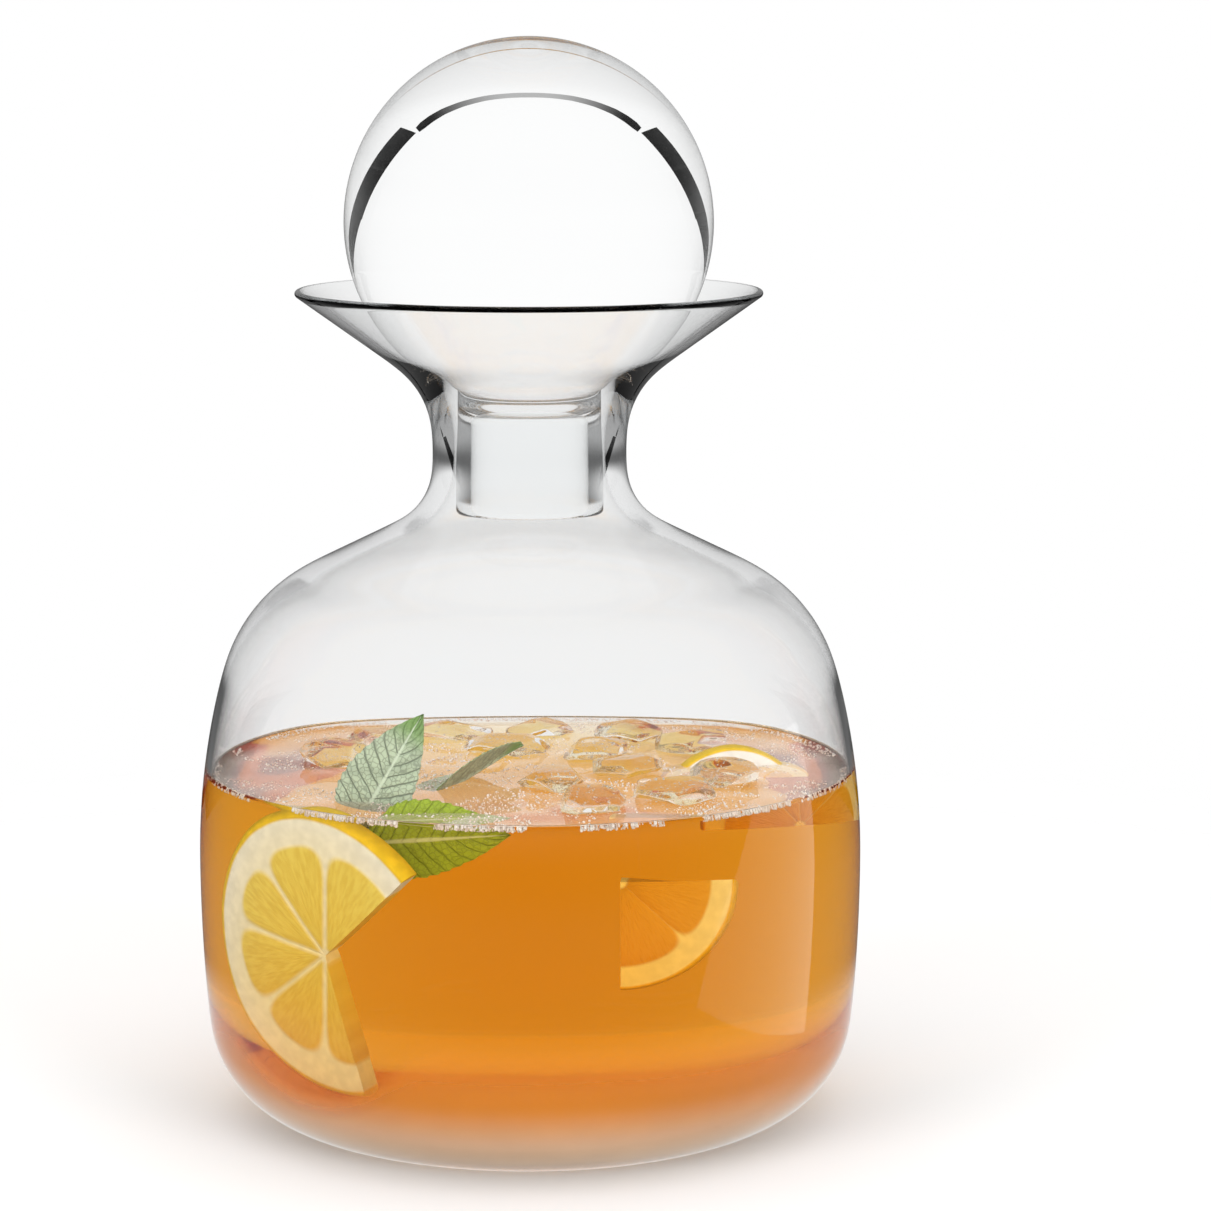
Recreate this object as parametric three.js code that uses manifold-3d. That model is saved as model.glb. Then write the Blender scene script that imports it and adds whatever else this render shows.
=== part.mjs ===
// A squat blown-glass carafe with a flared mouth and a ball stopper, part filled with iced tea, lemon,
// mint and ice. Millimetres, +Z up. The axis of the glass is Z, the foot stands on Z = 0 and the
// photographed side faces -Y.

import * as THREE from "three";
import { mergeVertices } from "three/addons/utils/BufferGeometryUtils.js";
import Module from "manifold-3d";

// Bottle: its outer face from the foot up. A lean is the outline's angle from upright in degrees,
// outward positive.
const BODY_RADIUS = 72.5;
const FOOT_CORNER_RADIUS = 23.8;
const LOWER_SIDE_RADIUS = 396;
const LOWER_SIDE_LEAN = 5.3;
const UPPER_SIDE_RADIUS = 153;
const UPPER_SIDE_LEAN = 15.7;
const SHOULDER_RADIUS = 34.7;
const SHOULDER_LEAN = 64;
const NECK_FILLET_RADIUS = 13.8;
const NECK_RADIUS = 21;
const NECK_HEIGHT = 6.4;
const FUNNEL_FILLET_RADIUS = 18.8;
const FUNNEL_LEAN = 54.4;
const RIM_RADIUS = 50.5;

// Bottle: how thick the glass is.
const FOOT_WALL = 4;
const SIDE_WALL = 2.5;
const SHOULDER_WALL = 3;
const NECK_WALL = 4.6;
const FUNNEL_WALL = 1.6;
const RIM_WALL = 2;

// Stopper: a solid ball on a hollow peg that is open below.
const BALL_RADIUS = 39.8;
const PEG_LENGTH = 27;
const PEG_WALL = 3.1;
const PEG_BORE_DEPTH = 25.6;
const PEG_BORE_ROUNDING = 5;

// Tea, and the lemon in it: a slice that leans on the glass at the front left, a wedge held under the ice,
// and a half slice. An azimuth is the angle about Z from +X in degrees. The shares of wedge and half slice
// are of the slice's radius.
const DRINK_LEVEL = 76.4;
const LEMON_RADIUS = 31;
const LEMON_THICKNESS = 5;
const LEMON_DEPTH_SHARE = 0.43;
const SLICE_AZIMUTH = 228;
const SLICE_TILT = 12;
const SLICE_FROM = 40;
const SLICE_TO = 280;
const WEDGE_SHARE = 0.73;
const WEDGE_SET_BACK = 0.6;
const HALF_SLICE_SHARE = 0.55;
const HALF_SLICE_RISE = 0.25;

// Mint leaves, folded along the middle, set back from the lemon slice.
const LEAF_LENGTH = 31;
const LEAF_WIDTH = 18;
const LEAF_THICKNESS = 0.9;
const LEAF_FOLD = 14;
const LEAF_SMALL_SHARE = 0.9;
const LEAF_BASE_BULGE = 0.8;
const LEAF_SIDE_BULGE = 0.5;
const LEAF_SIDE_PLACE = 0.62;
const LEAF_DIP = 0.22;
const LEAF_SINK = 5;
const LEAF_SET_BACK = 9;
const LEAF_UPRIGHT_AZIMUTH = 227;
const LEAF_LYING_AZIMUTH = 225;
const LEAF_FLOATING_AZIMUTH = 250;

// Crushed ice in two rings. Its width is a share of the room in the glass, and the half slice of lemon
// takes one place of the outer ring.
const ICE_WIDTH_SHARE = 0.262;
const ICE_SPACING = 3;
const ICE_STRETCH = 1.35;
const ICE_SINK = 0.3;
const ICE_START_AZIMUTH = -75;
const ICE_INNER_STEP = 60;
const ICE_INNER_COUNT = 4;
const ICE_OUTER_STEP = 27;
const ICE_OUTER_COUNT = 10;
const ICE_OUTER_LEMON_PLACE = 3;
const ICE_OUTER_WEDGE_PLACE = 1;

// Clearances between pieces.
const SEAT_GAP = 0.3;
const PEG_CLEARANCE = 0.5;
const CONTENTS_GAP = 0.3;
const SURFACE_BREAK = 0.8;

// Fineness of the round faces.
const TURNS = 48;
const CHORD_SAG = 0.12;
const BALL_STEPS = 20;
const ROUND_STEPS = 4;
const LEMON_STEPS = 20;
const LEAF_STEPS = 7;
const SEAT_SAMPLES = 24;

const wasm = await Module();
wasm.setup();

const { degToRad, lerp } = THREE.MathUtils;

const GLASS = new THREE.MeshStandardMaterial({
  color: 0xf2f6f6,
  roughness: 0.03,
  metalness: 0,
  transparent: true,
  opacity: 0.3,
});
const MATERIALS = {
  bottle: GLASS,
  stopper: GLASS.clone(),
  tea: new THREE.MeshStandardMaterial({
    color: 0xd98012,
    roughness: 0.05,
    transparent: true,
    opacity: 0.7,
  }),
  lemon: new THREE.MeshStandardMaterial({ color: 0xf2d03c, roughness: 0.45 }),
  mint: new THREE.MeshStandardMaterial({ color: 0x5f9a2e, roughness: 0.55 }),
  ice: new THREE.MeshStandardMaterial({
    color: 0xf4f2ee,
    roughness: 0.1,
    transparent: true,
    opacity: 0.5,
  }),
};

// The outer face of the glass as tangent arcs and lines. Each point keeps its lean and wall, which give
// the inner face.
class GlassOutline {
  constructor(radius, lean, wall) {
    this.points = [{ radius, height: 0, lean, wall }];
  }

  get end() {
    return this.points.at(-1);
  }

  line(length, wall) {
    const { radius, height, lean } = this.end;
    const angle = degToRad(lean);
    this.points.push({
      radius: radius + length * Math.sin(angle),
      height: height + length * Math.cos(angle),
      lean,
      wall,
    });
    return this;
  }

  lineToRadius(radius, wall) {
    return this.line((radius - this.end.radius) / Math.sin(degToRad(this.end.lean)), wall);
  }

  arc(lean, arcRadius, wall) {
    const start = this.end;
    const from = degToRad(start.lean);
    const to = degToRad(lean);
    const bend = Math.sign(to - from);
    const steps = Math.ceil(Math.abs(to - from) / (2 * Math.acos(1 - CHORD_SAG / arcRadius)));
    for (let i = 1; i <= steps; i++) {
      const angle = lerp(from, to, i / steps);
      this.points.push({
        radius: start.radius + bend * arcRadius * (Math.cos(from) - Math.cos(angle)),
        height: start.height + bend * arcRadius * (Math.sin(angle) - Math.sin(from)),
        lean: THREE.MathUtils.radToDeg(angle),
        wall: lerp(start.wall, wall, i / steps),
      });
    }
    return this;
  }

  outerFace() {
    return this.points.map(({ radius, height }) => new THREE.Vector2(radius, height));
  }

  innerFace(gap = 0) {
    return this.points.map(({ radius, height, lean, wall }) => {
      const angle = degToRad(lean);
      return new THREE.Vector2(
        radius - (wall + gap) * Math.cos(angle),
        height + (wall + gap) * Math.sin(angle),
      );
    });
  }
}

// Points of a half circle that rounds an edge from one corner to the other, turning counterclockwise.
function roundedEdge(from, to) {
  const middle = from.clone().lerp(to, 0.5);
  const arm = from.clone().sub(middle);
  const points = [];
  for (let i = 1; i < ROUND_STEPS; i++) {
    points.push(arm.clone().rotateAround(new THREE.Vector2(), (Math.PI * i) / ROUND_STEPS).add(middle));
  }
  return points;
}

// A profile of radius and height turned about Z.
function turned(profile) {
  return new THREE.LatheGeometry(profile, TURNS).rotateX(Math.PI / 2);
}

function solidOf(geometry) {
  const bare = geometry.clone();
  bare.deleteAttribute("normal");
  bare.deleteAttribute("uv");
  const merged = mergeVertices(bare, 1e-3);
  return new wasm.Manifold(
    new wasm.Mesh({
      numProp: 3,
      vertProperties: merged.attributes.position.array,
      triVerts: new Uint32Array(merged.index.array),
    }),
  );
}

function geometryOf(solid) {
  const mesh = solid.getMesh();
  return new THREE.BufferGeometry()
    .setAttribute("position", new THREE.BufferAttribute(mesh.vertProperties, 3))
    .setIndex(new THREE.BufferAttribute(mesh.triVerts, 1));
}

const carafe = new THREE.Group();
carafe.name = "glass_carafe";

function addMesh(name, geometry, material, matrix = new THREE.Matrix4()) {
  const mesh = new THREE.Mesh(geometry, material);
  mesh.name = name;
  mesh.applyMatrix4(matrix);
  mesh.updateMatrix();
  carafe.add(mesh);
  return mesh;
}

// Bottle.
const lowerLean = degToRad(LOWER_SIDE_LEAN);
const footRadius =
  BODY_RADIUS - LOWER_SIDE_RADIUS * (1 - Math.cos(lowerLean)) - FOOT_CORNER_RADIUS * Math.cos(lowerLean);
const neckFilletReach = NECK_FILLET_RADIUS * (1 - Math.cos(degToRad(SHOULDER_LEAN)));
const rimInset = (RIM_WALL / 2) * (1 - Math.cos(degToRad(FUNNEL_LEAN)));

const glass = new GlassOutline(footRadius, 90, FOOT_WALL)
  .arc(LOWER_SIDE_LEAN, FOOT_CORNER_RADIUS, SIDE_WALL)
  .arc(0, LOWER_SIDE_RADIUS, SIDE_WALL)
  .arc(-UPPER_SIDE_LEAN, UPPER_SIDE_RADIUS, SIDE_WALL)
  .arc(-SHOULDER_LEAN, SHOULDER_RADIUS, SHOULDER_WALL)
  .lineToRadius(NECK_RADIUS + neckFilletReach, SHOULDER_WALL)
  .arc(0, NECK_FILLET_RADIUS, NECK_WALL)
  .line(NECK_HEIGHT, NECK_WALL)
  .arc(FUNNEL_LEAN, FUNNEL_FILLET_RADIUS, FUNNEL_WALL)
  .lineToRadius(RIM_RADIUS - rimInset, RIM_WALL);

const outerFace = glass.outerFace();
const innerFace = glass.innerFace();
const bottleProfile = [
  new THREE.Vector2(0, 0),
  ...outerFace,
  ...roundedEdge(outerFace.at(-1), innerFace.at(-1)),
  ...innerFace.toReversed(),
  new THREE.Vector2(0, FOOT_WALL),
];
addMesh("carafe_bottle", turned(bottleProfile), MATERIALS.bottle);

// Stopper: the ball drops into the funnel until its face is the seat gap away from the glass.
function ballSeatHeight(face, reach) {
  let height = -Infinity;
  for (let i = 1; i < face.length; i++) {
    for (let k = 0; k <= SEAT_SAMPLES; k++) {
      const point = face[i - 1].clone().lerp(face[i], k / SEAT_SAMPLES);
      if (point.x < reach) {
        height = Math.max(height, point.y + Math.sqrt(reach ** 2 - point.x ** 2));
      }
    }
  }
  return height;
}

const ballHeight = ballSeatHeight(innerFace, BALL_RADIUS + SEAT_GAP);
const pegRadius = NECK_RADIUS - NECK_WALL - PEG_CLEARANCE;
const boreRadius = pegRadius - PEG_WALL;
const pegTop = ballHeight - Math.sqrt(BALL_RADIUS ** 2 - pegRadius ** 2);
const pegEnd = pegTop - PEG_LENGTH;
const boreTop = pegEnd + PEG_BORE_DEPTH;

const stopperProfile = [new THREE.Vector2(0, boreTop)];
for (let i = 0; i <= ROUND_STEPS; i++) {
  const angle = ((Math.PI / 2) * i) / ROUND_STEPS;
  stopperProfile.push(
    new THREE.Vector2(
      boreRadius - PEG_BORE_ROUNDING * (1 - Math.sin(angle)),
      boreTop - PEG_BORE_ROUNDING * (1 - Math.cos(angle)),
    ),
  );
}
const boreMouth = new THREE.Vector2(boreRadius, pegEnd + PEG_WALL / 2);
const pegSide = new THREE.Vector2(pegRadius, pegEnd + PEG_WALL / 2);
stopperProfile.push(boreMouth, ...roundedEdge(boreMouth, pegSide), pegSide);
const ballStart = Math.asin(pegRadius / BALL_RADIUS);
for (let i = 0; i < BALL_STEPS; i++) {
  const angle = lerp(ballStart, Math.PI, i / BALL_STEPS);
  stopperProfile.push(
    new THREE.Vector2(BALL_RADIUS * Math.sin(angle), ballHeight - BALL_RADIUS * Math.cos(angle)),
  );
}
stopperProfile.push(new THREE.Vector2(0, ballHeight + BALL_RADIUS));
addMesh("ball_stopper", turned(stopperProfile), MATERIALS.stopper);

// Radius of the glass's inner face at a height in the body, less a gap.
function insideRadius(height, gap) {
  const face = glass.innerFace(gap);
  const i = face.findIndex((point) => point.y >= height);
  const [low, high] = [face[i - 1], face[i]];
  return lerp(low.x, high.x, (height - low.y) / (high.y - low.y));
}

// Each piece in the drink has a mesh, and a pocket in the drink that is its shape grown by the gap.
const pockets = [];

function addContent(name, shape, material, matrix) {
  pockets.push(solidOf(shape(CONTENTS_GAP).applyMatrix4(matrix)));
  return addMesh(name, shape(0), material, matrix);
}

// A frame at a point, from the way its X runs and the way its Z faces.
function frameAt(point, xWay, zWay) {
  const z = zWay.clone().normalize();
  const y = z.clone().cross(xWay).normalize();
  return new THREE.Matrix4().makeBasis(y.clone().cross(z), y, z).setPosition(point);
}

function around(radius, degrees, height) {
  return new THREE.Vector3(
    radius * Math.cos(degToRad(degrees)),
    radius * Math.sin(degToRad(degrees)),
    height,
  );
}

// A sector of a lemon slice about its own Z, from one angle to the other.
function lemonSector(radius, fromDegrees, toDegrees) {
  return (grow) => {
    const from = degToRad(fromDegrees) - grow / radius;
    const to = degToRad(toDegrees) + grow / radius;
    const middle = (from + to) / 2;
    const apex = -grow / Math.sin((to - from) / 2);
    const outline = new THREE.Shape();
    outline.moveTo(apex * Math.cos(middle), apex * Math.sin(middle));
    for (let i = 0; i <= LEMON_STEPS; i++) {
      const angle = lerp(from, to, i / LEMON_STEPS);
      outline.lineTo((radius + grow) * Math.cos(angle), (radius + grow) * Math.sin(angle));
    }
    const depth = LEMON_THICKNESS + 2 * grow;
    return new THREE.ExtrudeGeometry(outline, { depth, bevelEnabled: false }).translate(0, 0, -depth / 2);
  };
}

// Ice: each piece is turned by its own angle and floats with its top out of the tea.
const GOLDEN_ANGLE = Math.PI * (3 - Math.sqrt(5));
const iceWidth = ICE_WIDTH_SHARE * insideRadius(DRINK_LEVEL, CONTENTS_GAP);
const iceHeight = DRINK_LEVEL - ICE_SINK * iceWidth;

function iceRing(step) {
  return (iceWidth + ICE_SPACING) / (2 * Math.sin(degToRad(step) / 2));
}

function icePlace(step, place) {
  return around(iceRing(step), ICE_START_AZIMUTH + place * step, iceHeight);
}

function iceLump(turn) {
  return (grow) =>
    new THREE.IcosahedronGeometry(iceWidth / 2 + 2 * grow, 0).scale(1, 1, ICE_STRETCH).rotateZ(turn);
}

const icePlaces = [];
for (let i = 0; i < ICE_INNER_COUNT; i++) {
  icePlaces.push(icePlace(ICE_INNER_STEP, i));
}
for (let i = 0; i < ICE_OUTER_COUNT; i++) {
  if (i !== ICE_OUTER_LEMON_PLACE) {
    icePlaces.push(icePlace(ICE_OUTER_STEP, i));
  }
}
const iceMeshes = icePlaces.map((place, i) =>
  addContent(
    "ice_" + String(i + 1).padStart(2, "0"),
    iceLump(i * GOLDEN_ANGLE),
    MATERIALS.ice,
    new THREE.Matrix4().setPosition(place),
  ),
);

// Lemon slice: as far out as the glass lets it lean, its rind just out of the tea.
const sliceRadius = Math.min(LEMON_RADIUS, LEMON_DEPTH_SHARE * (DRINK_LEVEL - FOOT_WALL));
const sliceTilt = degToRad(SLICE_TILT);
const sliceRoom = insideRadius(DRINK_LEVEL, 2 * CONTENTS_GAP);
const sliceReach = Math.sqrt(sliceRoom ** 2 - (sliceRadius + CONTENTS_GAP) ** 2);
const sliceRing = Math.cos(sliceTilt) * sliceReach - LEMON_THICKNESS / 2 - CONTENTS_GAP;
addContent(
  "lemon_slice",
  lemonSector(sliceRadius, SLICE_FROM, SLICE_TO),
  MATERIALS.lemon,
  frameAt(
    around(sliceRing, SLICE_AZIMUTH, DRINK_LEVEL + SURFACE_BREAK - sliceRadius * Math.cos(sliceTilt)),
    around(1, SLICE_AZIMUTH + 90, 0),
    around(Math.cos(sliceTilt), SLICE_AZIMUTH, -Math.sin(sliceTilt)),
  ),
);

// Lemon wedge: a quarter with its flat cut up against a piece of ice.
const wedgeRadius = WEDGE_SHARE * sliceRadius;
const iceOverWedge = iceMeshes[ICE_INNER_COUNT + ICE_OUTER_WEDGE_PLACE];
const iceBottom = new THREE.Box3().setFromObject(iceOverWedge).min.z;
addContent(
  "lemon_wedge",
  lemonSector(wedgeRadius, -90, 0),
  MATERIALS.lemon,
  frameAt(
    new THREE.Vector3(
      iceOverWedge.position.x - WEDGE_SET_BACK * wedgeRadius,
      iceOverWedge.position.y,
      iceBottom - CONTENTS_GAP,
    ),
    new THREE.Vector3(1, 0, 0),
    new THREE.Vector3(0, -1, 0),
  ),
);

// Half slice of lemon: upright in the outer ring, its rind out of the tea.
const halfRadius = HALF_SLICE_SHARE * sliceRadius;
const halfAzimuth = ICE_START_AZIMUTH + ICE_OUTER_LEMON_PLACE * ICE_OUTER_STEP;
addContent(
  "lemon_half_slice",
  lemonSector(halfRadius, 0, 180),
  MATERIALS.lemon,
  frameAt(
    around(iceRing(ICE_OUTER_STEP), halfAzimuth, DRINK_LEVEL - (1 - HALF_SLICE_RISE) * halfRadius),
    around(1, halfAzimuth, 0),
    around(1, halfAzimuth - 90, 0),
  ),
);

// Mint leaf along its own Y from stalk to tip.
function mintLeaf(share) {
  return (grow) => {
    const length = share * LEAF_LENGTH;
    const width = share * LEAF_WIDTH;
    const depth = LEAF_THICKNESS + 2 * grow;
    const half = new THREE.Shape();
    half.moveTo(0, -grow);
    half.bezierCurveTo(
      LEAF_BASE_BULGE * width + grow,
      -grow,
      LEAF_SIDE_BULGE * width + grow,
      LEAF_SIDE_PLACE * length,
      0,
      length + 2 * grow,
    );
    const blade = new THREE.ExtrudeGeometry(half, {
      depth,
      bevelEnabled: false,
      curveSegments: LEAF_STEPS,
    }).translate(0, 0, -depth / 2);
    const right = blade.clone().rotateY(-degToRad(LEAF_FOLD));
    const left = blade.clone().rotateY(Math.PI + degToRad(LEAF_FOLD));
    return geometryOf(solidOf(right).add(solidOf(left)));
  };
}

// A leaf whose middle passes through a spot at a share of its length, from the ways its tip points and
// its face looks.
function addLeaf(name, share, spot, along, tipWay, faceWay) {
  const stalk = spot.clone().addScaledVector(tipWay.clone().normalize(), -along * share * LEAF_LENGTH);
  addContent(name, mintLeaf(share), MATERIALS.mint, frameAt(stalk, tipWay.clone().cross(faceWay), faceWay));
}

const leafRing = sliceRing - LEAF_SET_BACK;
addLeaf(
  "mint_leaf_upright",
  LEAF_SMALL_SHARE,
  around(leafRing, LEAF_UPRIGHT_AZIMUTH, DRINK_LEVEL),
  LEAF_DIP,
  new THREE.Vector3(0.5, 0.2, 0.8),
  new THREE.Vector3(-0.25, -1, 0.3),
);
addLeaf(
  "mint_leaf_lying",
  1,
  around(leafRing / 2, LEAF_LYING_AZIMUTH, DRINK_LEVEL),
  LEAF_DIP,
  new THREE.Vector3(0.6, 0.75, 0.3),
  new THREE.Vector3(-0.53, 0.16, 0.83),
);
addLeaf(
  "mint_leaf_floating",
  LEAF_SMALL_SHARE,
  around(leafRing, LEAF_FLOATING_AZIMUTH, DRINK_LEVEL - LEAF_SINK),
  0.5,
  new THREE.Vector3(1, 0.05, 0.05),
  new THREE.Vector3(0, -0.85, 0.5),
);

// Tea: the inside of the glass up to the drink's level, with the pockets cut out.
const teaFace = glass.innerFace(CONTENTS_GAP).filter((point) => point.y < DRINK_LEVEL);
const teaProfile = [
  new THREE.Vector2(0, teaFace[0].y),
  ...teaFace,
  new THREE.Vector2(insideRadius(DRINK_LEVEL, CONTENTS_GAP), DRINK_LEVEL),
  new THREE.Vector2(0, DRINK_LEVEL),
];
const tea = pockets.reduce((rest, pocket) => rest.subtract(pocket), solidOf(turned(teaProfile)));
addMesh("iced_tea", geometryOf(tea), MATERIALS.tea);

export default carafe;
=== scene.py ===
"""Dresses the carafe: blown glass, a ball stopper, iced tea with lemon, mint and ice, and a white studio.

Metres, +Z up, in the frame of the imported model: the axis of the glass is Z, the foot stands on Z = 0 and the
photographed side faces -Y.
"""

import math
import random

import bmesh
import bpy
from bpy.props import FloatProperty, FloatVectorProperty, IntProperty, PointerProperty
from mathutils import Matrix, Vector, noise


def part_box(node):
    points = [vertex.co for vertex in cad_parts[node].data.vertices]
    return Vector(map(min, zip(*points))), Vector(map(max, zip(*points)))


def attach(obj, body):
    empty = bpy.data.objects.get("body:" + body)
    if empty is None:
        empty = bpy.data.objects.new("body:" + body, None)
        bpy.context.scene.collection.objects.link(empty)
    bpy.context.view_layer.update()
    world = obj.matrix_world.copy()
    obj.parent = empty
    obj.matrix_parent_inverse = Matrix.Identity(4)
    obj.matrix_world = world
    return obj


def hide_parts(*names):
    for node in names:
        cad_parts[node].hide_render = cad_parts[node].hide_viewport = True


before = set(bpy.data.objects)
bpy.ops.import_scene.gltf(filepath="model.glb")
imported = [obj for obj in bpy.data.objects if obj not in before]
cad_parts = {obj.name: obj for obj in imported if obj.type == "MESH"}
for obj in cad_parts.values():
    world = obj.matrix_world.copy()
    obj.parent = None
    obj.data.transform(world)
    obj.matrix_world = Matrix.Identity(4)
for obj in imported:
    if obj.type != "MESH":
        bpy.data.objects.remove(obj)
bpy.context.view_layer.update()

bl_info = {
    "name": "Glass carafe",
    "version": (1, 0, 0),
    "blender": (4, 5, 0),
    "location": "3D View > Sidebar > Carafe",
    "description": "Makes the glass, stopper, tea, lemon, mint and ice of the carafe, and its studio",
    "category": "Object",
}

MM = 0.001
BALL_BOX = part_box("ball_stopper")
TEA_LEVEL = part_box("iced_tea")[1].z
ICE_NODES = sorted(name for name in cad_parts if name.startswith("ice_"))


# Settings

def length(name, millimetres, description):
    return FloatProperty(
        name=name, description=description, default=millimetres * MM, unit="LENGTH", precision=5,
    )


def angle(name, degrees, description):
    return FloatProperty(name=name, description=description, default=math.radians(degrees), subtype="ANGLE")


def share(name, value, description):
    return FloatProperty(name=name, description=description, default=value, min=0, max=1, subtype="FACTOR")


def number(name, value, description):
    return FloatProperty(name=name, description=description, default=value)


def count(name, value, description):
    return IntProperty(name=name, description=description, default=value, min=1)


def colour(name, value, description):
    return FloatVectorProperty(
        name=name, description=description, default=value, min=0, max=1, subtype="COLOR",
    )


class CarafeGlass(bpy.types.PropertyGroup):
    """Outline, walls and glass of the bottle, from the foot up. A lean is measured from upright, outward."""

    body_radius: length("Body radius", 72.5, "Widest radius of the body")
    foot_corner: length("Foot corner", 23.8, "Radius of the corner between foot and side")
    lower_side: length("Lower side", 396, "Radius of the side's curve below the widest place")
    lower_lean: angle("Lower lean", 5.3, "Lean of the side where it leaves the foot corner")
    upper_side: length("Upper side", 153, "Radius of the side's curve above the widest place")
    upper_lean: angle("Upper lean", 15.7, "Inward lean of the side where the shoulder starts")
    shoulder: length("Shoulder", 34.7, "Radius of the shoulder's curve")
    shoulder_lean: angle("Shoulder lean", 64, "Inward lean of the shoulder below the neck")
    neck_fillet: length("Neck fillet", 13.8, "Radius of the curve from shoulder to neck")
    neck_radius: length("Neck radius", 21, "Outer radius of the neck")
    neck_height: length("Neck height", 6.4, "Height of the straight neck")
    funnel_fillet: length("Funnel fillet", 18.8, "Radius of the curve from neck to funnel")
    funnel_lean: angle("Funnel lean", 54.4, "Outward lean of the funnel")
    rim_radius: length("Rim radius", 50.5, "Outer radius of the mouth")
    foot_wall: length("Foot wall", 4, "Thickness of the foot")
    side_wall: length("Side wall", 1.4, "Thickness of the side")
    shoulder_wall: length("Shoulder wall", 3, "Thickness of the shoulder")
    neck_wall: length("Neck wall", 4.6, "Thickness of the neck")
    funnel_wall: length("Funnel wall", 1.6, "Thickness of the funnel")
    rim_wall: length("Rim wall", 1.4, "Thickness of the rim")
    step: length("Step", 1.2, "Longest step along the outline")
    turns: count("Turns", 180, "Steps around the axis")
    tint: colour("Tint", (0.95, 0.954, 0.955), "Colour of the glass surface")
    smoke: colour("Smoke", (0.12, 0.2, 0.24), "Colour that deep glass takes")
    smoke_depth: number("Smoke depth", 3, "How quickly deep glass darkens, per metre")
    refraction: number("Refraction", 1.5, "Refractive index of the glass")
    glare: share("Glare", 0.22, "How strongly the glass mirrors when it is seen face on")
    waviness: length("Waviness", 0.05, "Height of the waves left by the blowing")


class CarafeStopper(bpy.types.PropertyGroup):
    """Solid ball on a hollow peg."""

    ball_radius: length("Ball radius", 39.8, "Radius of the ball")
    peg_radius: length("Peg radius", 15.9, "Outer radius of the peg")
    peg_wall: length("Peg wall", 3.1, "Thickness of the peg")
    bore_depth: length("Bore depth", 25.6, "Depth of the hollow in the peg")
    bore_rounding: length("Bore rounding", 5, "Rounding at the top of the hollow")
    fillet: length("Fillet", 0.8, "Fillet between peg and ball")
    tint: colour("Tint", (0.99, 0.995, 0.995), "Colour of the glass surface")


class CarafeTea(bpy.types.PropertyGroup):
    """Iced tea with its dregs and froth. The dregs' colours are painted light."""

    wall_lap: length("Wall lap", 0.1, "How far the tea reaches into the glass, so no air lies between them")
    climb: length("Climb", 1.9, "How far the tea climbs the glass")
    climb_width: length("Climb width", 1.5, "How far from the glass the climb reaches")
    ripple: length("Ripple", 0.25, "Height of the ripples")
    colour: colour("Colour", (0.95, 0.735, 0.05), "Colour that deep tea takes")
    strength: number("Strength", 38, "How quickly deep tea darkens, per metre")
    refraction: number("Refraction", 1.34, "Refractive index of the tea")
    bloom: share("Bloom", 0.5, "How pale the tea looks at a slant")
    dregs: length("Dregs", 34, "How high the fine dregs cling to the glass")
    # The dregs' colours are painted light: pale at the foot for light coming up through the base, amber higher
    # up for the lit tea.
    dregs_and_foot_light: colour("Dregs colour", (0.97, 0.72, 0.50), "Colour of the dregs at the foot")
    upper_dregs_and_tea_light: colour("Upper dregs", (0.74, 0.235, 0.004), "Colour of the dregs higher up")
    # Painted light: the pale inner side makes the dregs look lit when seen from behind.
    dregs_inside_painted_light: colour("Dregs inside", (0.98, 0.95, 0.88), "Colour of the dregs' inner side")
    froth: colour("Froth", (0.86, 0.70, 0.60), "Colour of the froth")
    edge_bubbles: number("Edge bubbles", 4.7, "Bubbles in each square millimetre along the glass")
    edge_bubble_size: length("Edge bubble size", 0.38, "Radius of the largest bubbles along the glass")
    skin_bubbles: number("Skin bubbles", 0.9, "Bubbles in each square millimetre on the tea")
    skin_bubble_size: length("Skin bubble size", 0.33, "Radius of the largest bubbles on the tea")
    seed: count("Seed", 4, "Start of the random places")


class CarafeLemon(bpy.types.PropertyGroup):
    """Lemon slice, wedge and half slice."""

    radius: length("Radius", 31, "Radius of the slice")
    thickness: length("Thickness", 5, "Thickness of the pieces")
    slice_azimuth: angle("Slice azimuth", 228, "Place of the slice about the axis, from +X")
    slice_tilt: angle("Slice tilt", 12, "How far the slice leans on the glass")
    slice_from: angle("Slice from", 40, "Where the slice's rind starts")
    slice_to: angle("Slice to", 280, "Where the slice's rind ends")
    segment: angle("Segment", 44, "Angle of one segment")
    rind: colour("Rind", (0.93, 0.60, 0.02), "Colour of the rind")
    pith: colour("Pith", (0.98, 0.94, 0.86), "Colour of the pith and membranes")
    flesh: colour("Flesh", (0.88, 0.72, 0.17), "Colour of the flesh")
    steeped: colour("Steeped flesh", (0.72, 0.36, 0.05), "Colour of flesh that lay long in the tea")
    # Painted shade: the darker flesh in the hollows between the juice sacs.
    flesh_in_painted_shade: colour("Deep flesh", (0.80, 0.61, 0.12), "Colour of the flesh between the juice sacs")


class CarafeMint(bpy.types.PropertyGroup):
    """Mint leaves."""

    length: length("Length", 31, "Length of the largest leaf")
    width: length("Width", 18, "Width that the outline is drawn from")
    thickness: length("Thickness", 0.5, "Thickness of the blade")
    fold: angle("Fold", 14, "How far each half is folded up")
    small: share("Small leaf", 0.9, "Size of the two smaller leaves")
    set_back: length("Set back", 9, "How far inward of the lemon slice the leaves stand")
    top: colour("Top", (0.34, 0.45, 0.035), "Colour of the upper face")
    under: colour("Underside", (0.5, 0.58, 0.4), "Colour of the underside")
    vein: colour("Vein", (0.60, 0.68, 0.50), "Colour of the midrib")


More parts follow.
